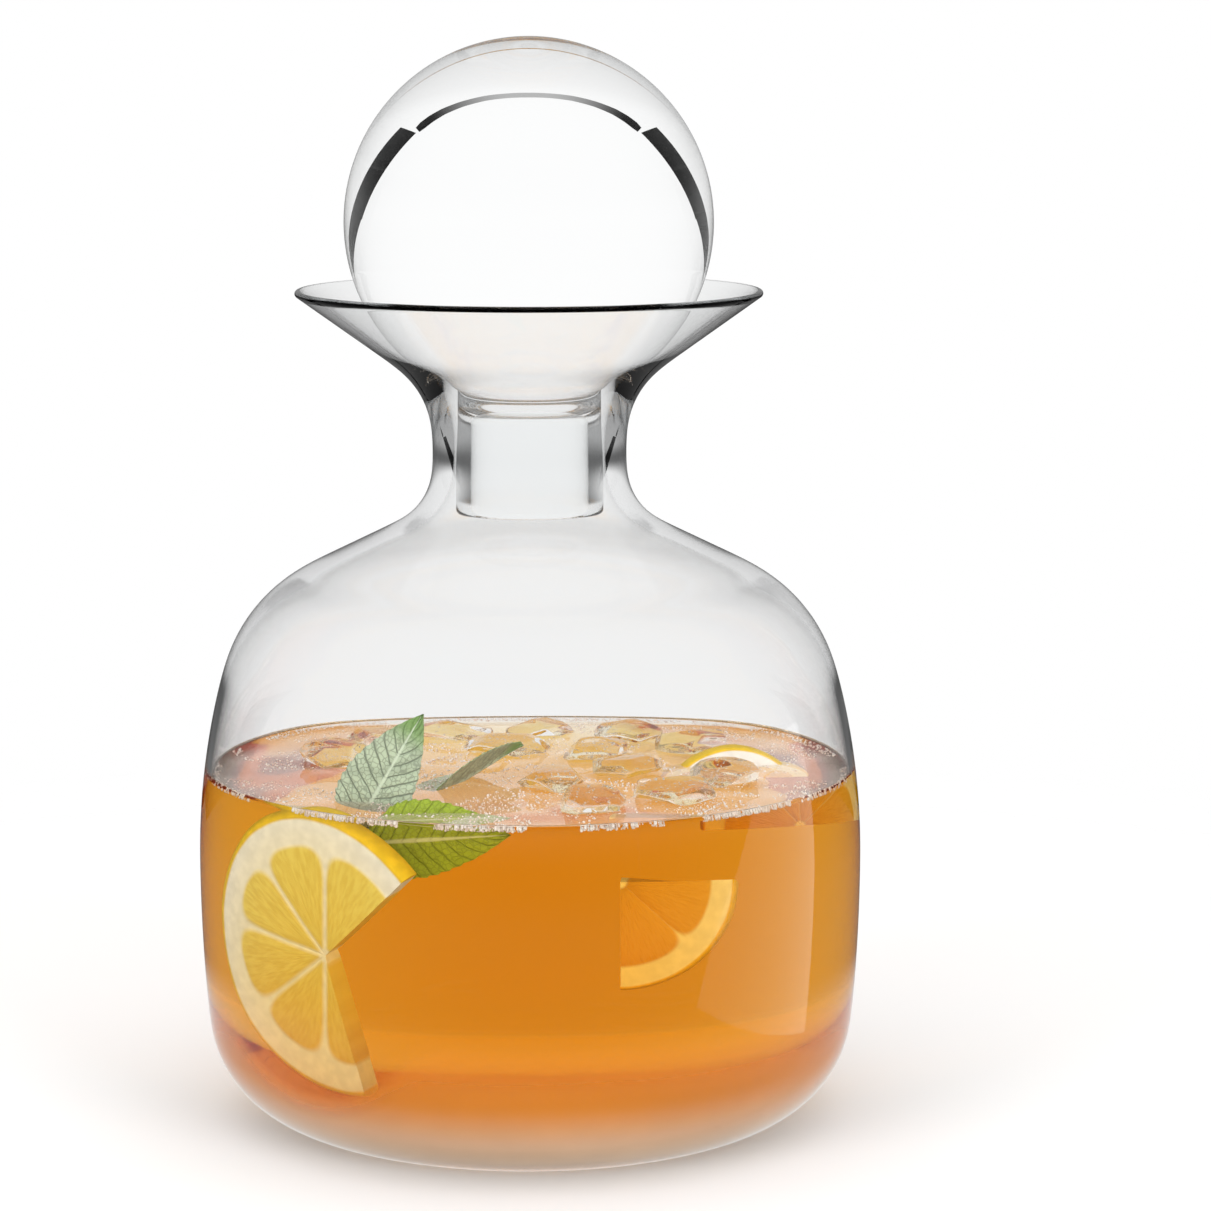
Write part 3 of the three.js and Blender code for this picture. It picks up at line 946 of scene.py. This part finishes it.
def membranes(start, end, segment, seed):
    """Angles of the membranes between a piece's cut ends."""
    dice = random.Random(seed)
    angles = []
    turn = start + segment
    while turn < end - 0.4 * segment:
        angles.append(turn + segment * dice.uniform(-0.1, 0.1))
        turn += segment
    return angles


PITH_INNER = 0.785
RIND_INNER = 0.955
LEMON_UV = 2.5
LEMON_ROWS = 34
LEMON_RIM_STEPS = 10
LEMON_SHOULDER = 0.965
LEMON_TURN = math.radians(1.8)
LEMON_SHARP = math.radians(50)
SEGMENT_ROUNDING = 1.6 * MM
SEGMENT_SWELL = 0.4 * MM
MEMBRANE_DIP = 0.15 * MM
SOAKED_BELOW = 52 * MM
FULLY_SOAKED_BELOW = 22 * MM


def lemon_material(name, lemon, walls, steeped):
    """Rind, pith and juicy segments, by the place on the cut face."""
    material, nodes = new_material(name)
    uv = nodes.node("ShaderNodeUVMap", {"uv_map": "cut"})
    x, y = [(part - 0.5) * LEMON_UV for part in nodes.parts(uv)[:2]]
    out = from_middle(x, y)
    turn = y.math("ARCTAN2", x)
    solid = nodes.object_place()
    grain = nodes.noise(solid, 420.0, 3.0)
    sway = 0.035 * (nodes.noise(solid, 130.0, 2.0) - 0.5)

    # Distance to the nearest membrane, as a share of the radius.
    nearest = None
    for wall in walls:
        wrapped = (wall + math.pi) % math.tau - math.pi
        gap = abs(turn - wrapped)
        gap = gap.least(math.tau - gap) * out
        nearest = gap if nearest is None else nearest.least(gap)
    nearest = nearest + steeped * 0.03
    core = 1 - (out + sway).rise(0.04, 0.075)
    inside = nearest.math("SMOOTH_MIN", PITH_INNER - out, 0.3) + 0.4 * sway
    pith = inside.rise(0.035, -0.005).most(core)
    rind = (out + 0.4 * sway).rise(RIND_INNER - 0.012, RIND_INNER + 0.012)

    # Juice sacs run outward. The flesh is painted darker where the bump lies low between them: painted shade
    # in the hollows.
    sacs_place = nodes.node("ShaderNodeCombineXYZ", {}, {"X": turn * 11, "Y": out * 5, "Z": 0.3})
    sacs = nodes.noise(sacs_place, 2.2, 2.0)
    flesh = nodes.blend(sacs.rise(0.32, 0.68), lemon.flesh_in_painted_shade[:], lemon.flesh[:])
    soaked = nodes.parts(solid)[2].rise(SOAKED_BELOW, FULLY_SOAKED_BELOW)
    flesh = nodes.blend((steeped + 0.4 * soaked).least(1), flesh, lemon.steeped[:])
    pale = nodes.blend(grain.rise(0.3, 0.75), [0.88 * part for part in lemon.pith], lemon.pith[:])
    peel = nodes.blend(grain.rise(0.25, 0.8), [0.82 * part for part in lemon.rind], lemon.rind[:])
    colour_here = nodes.blend(rind, nodes.blend(pith, flesh, pale), peel)
    height = sacs * (1 - pith) * 0.9 + grain * (0.12 + 0.5 * rind)
    nodes.finish(nodes.principled({
        "Base Color": colour_here,
        "Roughness": 0.32 + 0.3 * pith,
        "Normal": nodes.bump(height, 0.35 * MM, 0.7),
    }))
    return material


def lemon_relief(out, turn, radius, walls):
    """Height of the cut face: segments swell between their membranes and the pith."""
    if out > PITH_INNER or not walls:
        return 0.0
    gap = min(abs((turn - wall + math.pi) % math.tau - math.pi) for wall in walls) * out * radius
    beside = min(gap / SEGMENT_ROUNDING, 1)
    inside = min((PITH_INNER - out) * radius / SEGMENT_ROUNDING, 1)
    return SEGMENT_SWELL * math.sqrt(max(beside * inside, 0)) - MEMBRANE_DIP


def lemon_mesh(name, radius, start, end, thickness, walls, slant, matrix):
    """A closed sector of a slice: two cut faces, a rounded rind and two cut ends, the last cut at a slant."""
    half = thickness / 2
    profile = [(LEMON_SHOULDER * i / LEMON_ROWS, 1.0) for i in range(LEMON_ROWS + 1)]
    for i in range(1, LEMON_RIM_STEPS):
        turn = math.pi * i / LEMON_RIM_STEPS
        profile.append((LEMON_SHOULDER + (1 - LEMON_SHOULDER) * math.sin(turn), math.cos(turn)))
    profile += [(out, -1.0) for out, _ in reversed(profile[:LEMON_ROWS + 1])]
    turns = math.ceil((end - start) / LEMON_TURN)
    shape = bmesh.new()
    layer = shape.loops.layers.uv.new("cut")
    grid = []
    for j in range(turns + 1):
        turn = start + (end - start) * j / turns
        column = []
        for out, side in profile:
            rise = lemon_relief(out, turn, radius, walls) if abs(side) == 1 else 0.0
            wobble = 1 + 0.012 * noise.noise((2.5 * math.cos(turn), 2.5 * math.sin(turn), out)) * out
            here = turn - slant * (1 - side) / 2 * j / turns
            column.append(shape.verts.new(around(radius * out * wobble, here, side * (half + rise))))
        grid.append(column)
    last = len(profile) - 1
    for first, second in zip(grid, grid[1:]):
        for i in range(last):
            shape.faces.new((first[i], first[i + 1], second[i + 1], second[i]))
    for column, flip in ((grid[0], False), (grid[-1], True)):
        for i in range(last // 2):
            corners = [column[i], column[last - i], column[last - i - 1], column[i + 1]]
            corners = list(dict.fromkeys(reversed(corners) if flip else corners))
            if len(corners) > 2:
                shape.faces.new(corners)
    for face in shape.faces:
        for loop in face.loops:
            place = loop.vert.co
            loop[layer].uv = (place.x / radius / LEMON_UV + 0.5, place.y / radius / LEMON_UV + 0.5)
    bmesh.ops.remove_doubles(shape, verts=shape.verts, dist=WELD)
    bmesh.ops.recalc_face_normals(shape, faces=shape.faces)
    shape.transform(matrix)
    return mesh_of(shape, name, LEMON_SHARP)


class CARAFE_OT_lemon(bpy.types.Operator):
    """Cut the lemon slice, wedge and half slice"""

    bl_idname = "carafe.lemon"
    bl_label = "Lemon"

    def execute(self, context):
        lemon = context.scene.carafe_lemon
        azimuth = lemon.slice_azimuth
        tilt = lemon.slice_tilt
        slice_place = frame_at(
            slice_middle(context.scene),
            around(1, azimuth + math.pi / 2, 0),
            around(math.cos(tilt), azimuth, -math.sin(tilt)),
        )
        low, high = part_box("lemon_wedge")
        wedge_place = frame_at(
            Vector((low.x, (low.y + high.y) / 2, high.z)), Vector((1, 0, 0)), Vector((0, -1, 0)),
        )
        wedge_radius = high.x - low.x
        low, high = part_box("lemon_half_slice")
        half_way = math.atan2(low.y + high.y, low.x + high.x)
        half_place = frame_at(
            Vector(((low.x + high.x) / 2, (low.y + high.y) / 2, low.z)),
            around(1, half_way, 0),
            around(1, half_way - math.pi / 2, 0),
        )
        half_radius = high.z - low.z
        for node, radius, start, end, matrix, seed, steeped, slant in (
            ("lemon_slice", lemon.radius, lemon.slice_from, lemon.slice_to, slice_place, 3, 0.0, 0.0),
            ("lemon_wedge", wedge_radius, -math.pi / 2, 0.0, wedge_place, 5, 0.75, 0.1),
            ("lemon_half_slice", half_radius, 0.0, math.pi, half_place, 8, 0.5, 0.0),
        ):
            name = node + "_cut"
            walls = membranes(start, end, lemon.segment, seed)
            material = lemon_material(name, lemon, walls, steeped)
            mesh = lemon_mesh(name, radius, start, end, lemon.thickness, walls, slant, matrix)
            add_piece(name, mesh, material, "bottle", node)
        return {"FINISHED"}


LEAF_BASE_BULGE = 0.8
LEAF_SIDE_BULGE = 0.5
LEAF_SIDE_PLACE = 0.62
LEAF_VEINS = 10.5
LEAF_VEIN_RAKE = 0.2
LEAF_ROWS = 64
LEAF_COLUMNS = 30
LEAF_TEETH = 15
LEAF_QUILT = 0.22 * MM
LEAF_RIB = 0.25 * MM
LEAF_DIP = 0.22
LEAF_SINK = 5 * MM


def mint_material(name, mint):
    """Leaf with a pale midrib, dark side veins and a net of fine ones, whose darkness is painted shade in
    their sunken grooves; its map follows the blade.
    """
    material, nodes = new_material(name)
    uv = nodes.node("ShaderNodeUVMap", {"uv_map": "blade"})
    along, width, _ = nodes.parts(uv)
    across = abs(width * 2 - 1)
    under = nodes.node("ShaderNodeAttribute", {"attribute_name": "underside"}).of("Fac")
    solid = nodes.object_place()
    mottle = nodes.noise(solid, 260.0, 3.0)
    sway = 0.05 * (mottle - 0.5)
    phase = (along - LEAF_VEIN_RAKE * across + sway) * LEAF_VEINS
    line = abs(phase.math("FRACT") - 0.5)
    side_vein = 1 - line.rise(0.03, 0.11)
    net = nodes.node(
        "ShaderNodeTexVoronoi", {"feature": "DISTANCE_TO_EDGE"}, {"Vector": solid, "Scale": 850.0},
    )
    fine = 1 - net.rise(0.02, 0.12)
    rib = 1 - (across + sway).rise(0.02, 0.075)
    blade = nodes.blend(under, mint.top[:], mint.under[:])
    # Painted shade: the veins, sunk by the bump, take this darker green; the random mottle also darkens toward
    # it.
    dark = nodes.blend(under, [0.55 * part for part in mint.top], [0.28 * part for part in mint.under])
    green = nodes.blend((0.8 * side_vein).most(0.5 * fine), blade, dark)
    fresh = nodes.blend(along.rise(0.66, 0.9), green, (0.16, 0.31, 0.06))
    green = nodes.blend(mottle.rise(0.35, 0.8) * 0.4, nodes.blend(under * 0.85, green, fresh), dark)
    colour_here = nodes.blend(rib, green, mint.vein[:])
    height = rib * 0.8 - side_vein * 0.7 - fine * 0.25 + mottle * 0.3
    nodes.finish(nodes.principled({
        "Base Color": colour_here,
        "Roughness": 0.42 + 0.15 * mottle,
        "Normal": nodes.bump(height, 0.25 * MM, 0.8),
    }))
    return material


def mint_mesh(name, mint, size, pale_face, curl, matrix):
    """A folded blade along its own Y from stalk to tip, with toothed edges."""
    length_here = size * mint.length
    width_here = size * mint.width
    shape = bmesh.new()
    layer = shape.loops.layers.uv.new("blade")
    flag = shape.verts.layers.float.new("underside")
    sheets = {}
    placed = {}
    for side in (1, -1):
        sheet = []
        for i in range(LEAF_ROWS + 1):
            u = i / LEAF_ROWS
            reach = 3 * u * (1 - u) ** 2 * LEAF_BASE_BULGE + 3 * u * u * (1 - u) * LEAF_SIDE_BULGE
            along = 3 * u * u * (1 - u) * LEAF_SIDE_PLACE + u ** 3
            tooth = (u * LEAF_TEETH) % 1
            row = []
            for k in range(LEAF_COLUMNS + 1):
                across = 2 * k / LEAF_COLUMNS - 1
                outer = abs(across) ** 8 * min(1, 8 * u, 8 * (1 - u))
                x = across * reach * width_here * (1 + 0.07 * outer * (tooth - 0.5))
                phase = (along - LEAF_VEIN_RAKE * abs(across)) * LEAF_VEINS
                quilt = math.cos(math.tau * (phase % 1)) * math.sin(math.pi * min(abs(across) * 1.2, 1))
                ridge = math.exp(-(x / (0.5 * MM)) ** 2)
                z = abs(x) * math.tan(mint.fold) + LEAF_QUILT * quilt - LEAF_RIB * ridge
                z += curl * length_here * (along ** 2 - along)
                rib = 1 + 0.9 * math.exp(-(x / (0.7 * MM)) ** 2)
                thick = mint.thickness / 2 * (1 - 0.75 * abs(across) ** 6) * rib
                vertex = shape.verts.new((x, along * length_here, z + side * thick))
                vertex[flag] = 1.0 if side == pale_face else 0.0
                placed[vertex] = (along, (across + 1) / 2)
                row.append(vertex)
            sheet.append(row)
        sheets[side] = sheet

    def face(corners, flip=False):
        made = shape.faces.new(corners[::-1] if flip else corners)
        for loop in made.loops:
            loop[layer].uv = placed[loop.vert]

    top, bottom = sheets[1], sheets[-1]
    for i in range(LEAF_ROWS):
        for k in range(LEAF_COLUMNS):
            face((top[i][k], top[i][k + 1], top[i + 1][k + 1], top[i + 1][k]))
            face((bottom[i][k], bottom[i + 1][k], bottom[i + 1][k + 1], bottom[i][k + 1]))
        for k in (0, LEAF_COLUMNS):
            face((top[i][k], top[i + 1][k], bottom[i + 1][k], bottom[i][k]), flip=k > 0)
    for i in (0, LEAF_ROWS):
        for k in range(LEAF_COLUMNS):
            face((top[i][k], bottom[i][k], bottom[i][k + 1], top[i][k + 1]), flip=i > 0)
    bmesh.ops.remove_doubles(shape, verts=shape.verts, dist=1e-6)
    bmesh.ops.recalc_face_normals(shape, faces=shape.faces)
    shape.transform(matrix)
    return mesh_of(shape, name)


class CARAFE_OT_mint(bpy.types.Operator):
    """Lay the mint leaves"""

    bl_idname = "carafe.mint"
    bl_label = "Mint"

    def execute(self, context):
        mint = context.scene.carafe_mint
        ring = slice_ring(context.scene) - mint.set_back
        for node, size, spot, along, tip_way, face_way, pale_face, curl in (
            ("mint_leaf_upright", mint.small, around(ring, math.radians(227), TEA_LEVEL), LEAF_DIP,
             Vector((0.5, 0.2, 0.8)), Vector((-0.25, -1, 0.3)), 1, 0.05),
            ("mint_leaf_lying", 1, around(ring / 2, math.radians(225), TEA_LEVEL), LEAF_DIP,
             Vector((0.6, 0.75, 0.3)), Vector((-0.53, 0.16, 0.83)), -1, 0.0),
            ("mint_leaf_floating", mint.small,
             around(ring + 3 * MM, math.radians(250), TEA_LEVEL - LEAF_SINK), 0.5,
             Vector((1, 0.05, 0.05)), Vector((0, -0.92, 0.35)), -1, 0.0),
        ):
            stalk = spot - along * size * mint.length * tip_way.normalized()
            name = node + "_blade"
            material = mint_material(name, mint)
            place = frame_at(stalk, tip_way.cross(face_way), face_way)
            mesh = mint_mesh(name, mint, size, pale_face, curl, place)
            add_piece(name, mesh, material, "bottle", node)
        return {"FINISHED"}


ICE_DEPTH = 2.5 * MM
ICE_CRISP = 40
ICE_CORNER = 1.12
ICE_FACE_SPREAD = 0.6
ICE_DEEPEST_CUT = 0.62


class CARAFE_OT_ice(bpy.types.Operator):
    """Break the ice"""

    bl_idname = "carafe.ice"
    bl_label = "Ice"

    def execute(self, context):
        ice = context.scene.carafe_ice
        material = clear_material("ice", ice.tint[:], ice.refraction, wave=(0.12 * MM, 160.0), shade=0.97)
        for i, node in enumerate(ICE_NODES):
            low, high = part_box(node)
            dice = random.Random(ice.seed + i)
            faces = []
            while len(faces) < ice.facets:
                way = Vector([dice.gauss(0, 1) for _ in range(3)]).normalized()
                if all(way.dot(other) < ICE_FACE_SPREAD for other, _ in faces):
                    faces.append((way, dice.uniform(ICE_DEEPEST_CUT, 1.0)))
            low.z = TEA_LEVEL - ICE_DEPTH
            half = (high - low) / 2
            middle = (low + high) / 2
            shape = bmesh.new()
            bmesh.ops.create_icosphere(shape, subdivisions=5, radius=1)
            for vertex in shape.verts:
                way = vertex.co.normalized()
                cut = sum((max(way.dot(face_way), 0) / depth) ** ICE_CRISP for face_way, depth in faces)
                reach = min(cut ** (-1 / ICE_CRISP), ICE_CORNER)
                reach *= 1 + 0.02 * noise.noise(2.2 * way + Vector((i, 0, 0)))
                vertex.co = middle + Vector([w * reach * h for w, h in zip(way, half)])
            name = node + "_lump"
            add_piece(name, mesh_of(shape, name), material, "bottle", node)
        return {"FINISHED"}


def hide_from(piece, *rays):
    for ray in rays:
        setattr(piece, "visible_" + ray, False)


def matt(nodes, base):
    return nodes.principled({"Base Color": base, "Roughness": 1.0, "Specular IOR Level": 0.0})


# Faces of glass that a line of sight crosses, in and out, in the ball and in the neck with its peg.
BALL_FACES = 2
NECK_FACES = 8


def mirrored_share(path):
    """1 for what the glass mirrors, 0 for what is seen straight or through the tea."""
    crossed = path.of("Transmission Depth")
    return path.of("Glossy Depth").least(1) * crossed.rise(NECK_FACES + 1.5, NECK_FACES + 0.5)


def add_stage_mesh(name, points, material):
    mesh = bpy.data.meshes.new(name)
    mesh.from_pydata(points, [], [range(len(points))])
    mesh.materials.append(material)
    piece = add_object(name, mesh)
    return piece


FLOOR_GAP = 0.02 * MM
FLOOR_STEPS = 96
NEAR_FLOOR_GLOW = 0.9
FAR_FLOOR_GLOW = 0.98
NEAR_FLOOR_ENDS = 280 * MM
FAR_FLOOR_STARTS = 360 * MM
FOOT_PATCH = 120 * MM
FOOT_PATCH_FADE = 60 * MM
HORIZON_BLUR = 0.08
NEAR_FLOOR_DIPS = (-0.1, -0.26)
CARD_GREY = (0.45, 0.45, 0.45)
FAR_CARDS = 2.5
WHITE_CARD = 130 * MM
OUTER_MIRROR = 0.4
BOUNCES = {"max_bounces": 32, "transmission_bounces": 32, "glossy_bounces": 16, "transparent_max_bounces": 32}


class CARAFE_OT_stage(bpy.types.Operator):
    """Set the camera, floor, cards, lamps and white world"""

    bl_idname = "carafe.stage"
    bl_label = "Stage"

    def execute(self, context):
        stage = context.scene.carafe_stage
        self.place_camera(context.scene, stage)
        self.lay_floor(stage)
        self.stand_cards(stage)
        self.hang_lamps(stage)
        self.light_world(context.scene, stage)
        return {"FINISHED"}

    def place_camera(self, scene, stage):
        data = bpy.data.cameras.new("photo_camera")
        data.sensor_fit = "HORIZONTAL"
        data.angle = stage.camera_angle
        data.clip_start = 0.01
        camera = add_object("photo_camera", data)
        pitch, turn = stage.camera_pitch, stage.camera_turn
        way = Vector((math.sin(turn) * math.cos(pitch), math.cos(turn) * math.cos(pitch), -math.sin(pitch)))
        camera.location = (0, -stage.camera_distance, stage.camera_height)
        camera.rotation_euler = way.to_track_quat("-Z", "Y").to_euler()
        scene.camera = camera

    def lay_floor(self, stage):
        material, nodes = new_material("floor")
        x, y, _ = nodes.parts(nodes.object_place())
        out = from_middle(x, y)
        path = nodes.node("ShaderNodeLightPath")
        mirrored = mirrored_share(path)
        beside_foot = out.rise(FOOT_PATCH + FOOT_PATCH_FADE, FOOT_PATCH)
        solid = out.rise(stage.floor_radius, 0.5 * stage.floor_radius) * (1 - mirrored * (1 - beside_foot))
        paper = matt(nodes, stage.floor_colour[:])
        far = out.rise(NEAR_FLOOR_ENDS, FAR_FLOOR_STARTS)
        glow = NEAR_FLOOR_GLOW + (FAR_FLOOR_GLOW - NEAR_FLOOR_GLOW) * far
        white = nodes.node("ShaderNodeEmission", {}, {"Color": glow})
        through_glass = path.of("Is Transmission Ray").most(path.of("Is Glossy Ray"))
        paper = nodes.mix(through_glass, paper, white)
        nodes.finish(nodes.mix(solid, nodes.clear(), paper))
        ring = [
            around(stage.floor_radius, math.tau * i / FLOOR_STEPS, -FLOOR_GAP)
            for i in range(FLOOR_STEPS)
        ]
        add_stage_mesh("floor", ring, material)

    def stand_cards(self, stage):
        """Black cards outside the picture draw dark lines in the glass, and a white one a bright band."""
        black, nodes = new_material("black_card")
        aside = abs(nodes.parts(nodes.object_place())[0])
        paint = matt(nodes, nodes.blend(aside.rise(20 * MM, 170 * MM), CARD_GREY, stage.card_colour[:]))
        crossed = nodes.node("ShaderNodeLightPath").of("Transmission Depth")
        past_ball = crossed.rise(BALL_FACES + 0.4, BALL_FACES + 0.6)
        nodes.finish(nodes.mix(past_ball, paint, nodes.clear()))
        lying = ((238, 321, 1), (3138, 1457, 1), (3138, 2449, 1), (217, 404, 1))
        far = ((50.4, -4.5), (57.8, 2.4), (62.2, 6.5), (70.7, 13.6), (76, 20), (71.9, 7.3), (69.5, 2.4),
               (63.8, -4.5))
        line = ((208, 391, 17), (190, 379, 21), (165, 365, 19), (135, 353, 16), (100, 346, 13), (62, 343, 11),
                (30, 344, 10), (0, 345, 10))
        ball_height = BALL_BOX[1].z - bpy.context.scene.carafe_stopper.ball_radius
        for side, name in ((1, "right"), (-1, "left")):
            points = [Vector((side * x, y, z)) * MM for x, y, z in lying]
            standing = []
            for azimuth, rise in far:
                height = ball_height + FAR_CARDS * math.tan(math.radians(rise))
                way = around(FAR_CARDS, math.radians(90 - azimuth), height)
                standing.append(Vector((side * way.x, way.y, way.z)))
            thread = [Vector((side * x, y + width, 1)) * MM for x, y, width in line]
            thread += [Vector((side * x, y - width, 1)) * MM for x, y, width in reversed(line)]
            for label, corners in (("lying", points), ("far", standing), ("line", thread)):
                card = add_stage_mesh("black_card_%s_%s" % (label, name), corners, black)
                hide_from(card, "camera", "diffuse", "shadow")
        light, nodes = new_material("white_card")
        nodes.finish(nodes.node("ShaderNodeEmission", {}, {"Strength": stage.card_light}))
        edge = ((-9, 0), (-9, 100), (-60, 100), (-68, 75), (-86, 50), (-106, 25), (-120, 0))
        card = add_stage_mesh("white_card", [Vector((WHITE_CARD, y * MM, z * MM)) for y, z in edge], light)
        hide_from(card, "camera", "diffuse", "transmission", "shadow")

    def hang_lamps(self, stage):
        for name, place, target, size, power in (
            ("top_softbox", (0.0, -0.15, 1.3), (0, 0, 0.1), 1.2, 1.5),
            ("right_softbox", (0.75, -1.0, 0.3), (0, 0, 0.06), 0.6, 10.0),
            ("left_softbox", (-0.9, -0.9, 0.3), (0, 0, 0.06), 0.6, 10.0),
        ):
            data = bpy.data.lights.new(name, "AREA")
            data.shape = "RECTANGLE"
            data.size = size
            data.size_y = size
            data.energy = power * stage.lamp
            lamp = add_object(name, data)
            lamp.location = place
            lamp.rotation_euler = (Vector(target) - Vector(place)).to_track_quat("-Z", "Y").to_euler()
            hide_from(lamp, "glossy", "transmission")

    def light_world(self, scene, stage):
        world = bpy.data.worlds.new("white_studio")
        world.use_nodes = True
        nodes = Nodes(world.node_tree)
        path = nodes.node("ShaderNodeLightPath")
        seen = path.of("Is Camera Ray").most(path.of("Is Glossy Ray")).most(path.of("Is Transmission Ray"))
        upward = nodes.parts(nodes.node("ShaderNodeTexCoord").of("Generated"))[2]
        above = upward.rise(-HORIZON_BLUR, HORIZON_BLUR)
        mirrored = mirrored_share(path)
        near = upward.rise(*NEAR_FLOOR_DIPS)
        image = stage.mirrored_far_floor + above * (stage.mirrored_sky - stage.mirrored_far_floor)
        image = image + near * (stage.mirrored_floor - stage.mirrored_far_floor)
        inside = path.of("Transmission Depth").rise(0.4, 0.6)
        image = image * (OUTER_MIRROR + (1 - OUTER_MIRROR) * inside)
        light = mirrored * image + (1 - mirrored) * (stage.sky + seen * (1 - stage.sky))
        white = nodes.node("ShaderNodeBackground", {}, {"Color": light})
        nodes.node("ShaderNodeOutputWorld", {}, {"Surface": white})
        scene.world = world
        scene.view_settings.view_transform = "Standard"
        for name, bounces in BOUNCES.items():
            setattr(scene.cycles, name, bounces)
        scene.cycles.caustics_refractive = True
        scene.cycles.caustics_reflective = True


class CARAFE_PT_sidebar(bpy.types.Panel):
    """Lists the pieces and their settings"""

    bl_idname = "CARAFE_PT_sidebar"
    bl_label = "Glass carafe"
    bl_space_type = "VIEW_3D"
    bl_region_type = "UI"
    bl_category = "Carafe"

    def draw(self, context):
        for label, operators in PANEL_ROWS:
            box = self.layout.box()
            for operator in operators:
                box.operator(operator.bl_idname)
            group = getattr(context.scene, label)
            for name in group.bl_rna.properties.keys():
                if name not in {"rna_type", "name"}:
                    box.prop(group, name)


SETTINGS = {
    "carafe_glass": CarafeGlass,
    "carafe_stopper": CarafeStopper,
    "carafe_tea": CarafeTea,
    "carafe_lemon": CarafeLemon,
    "carafe_mint": CarafeMint,
    "carafe_ice": CarafeIce,
    "carafe_stage": CarafeStage,
}
PANEL_ROWS = (
    ("carafe_glass", (CARAFE_OT_bottle,)),
    ("carafe_stopper", (CARAFE_OT_stopper,)),
    ("carafe_tea", (CARAFE_OT_tea, CARAFE_OT_dregs, CARAFE_OT_froth)),
    ("carafe_lemon", (CARAFE_OT_lemon,)),
    ("carafe_mint", (CARAFE_OT_mint,)),
    ("carafe_ice", (CARAFE_OT_ice,)),
    ("carafe_stage", (CARAFE_OT_stage,)),
)
CLASSES = (
    *SETTINGS.values(),
    *(operator for _, operators in PANEL_ROWS for operator in operators),
    CARAFE_PT_sidebar,
)


def register():
    for kind in CLASSES:
        bpy.utils.register_class(kind)
    for name, group in SETTINGS.items():
        setattr(bpy.types.Scene, name, PointerProperty(type=group))


def unregister():
    for name in SETTINGS:
        delattr(bpy.types.Scene, name)
    for kind in reversed(CLASSES):
        bpy.utils.unregister_class(kind)


def main():
    register()
    bpy.ops.carafe.stage()
    bpy.ops.carafe.bottle()
    bpy.ops.carafe.stopper()
    bpy.ops.carafe.tea()
    bpy.ops.carafe.dregs()
    bpy.ops.carafe.froth()
    bpy.ops.carafe.lemon()
    bpy.ops.carafe.mint()
    bpy.ops.carafe.ice()


if __name__ == "__main__":
    main()
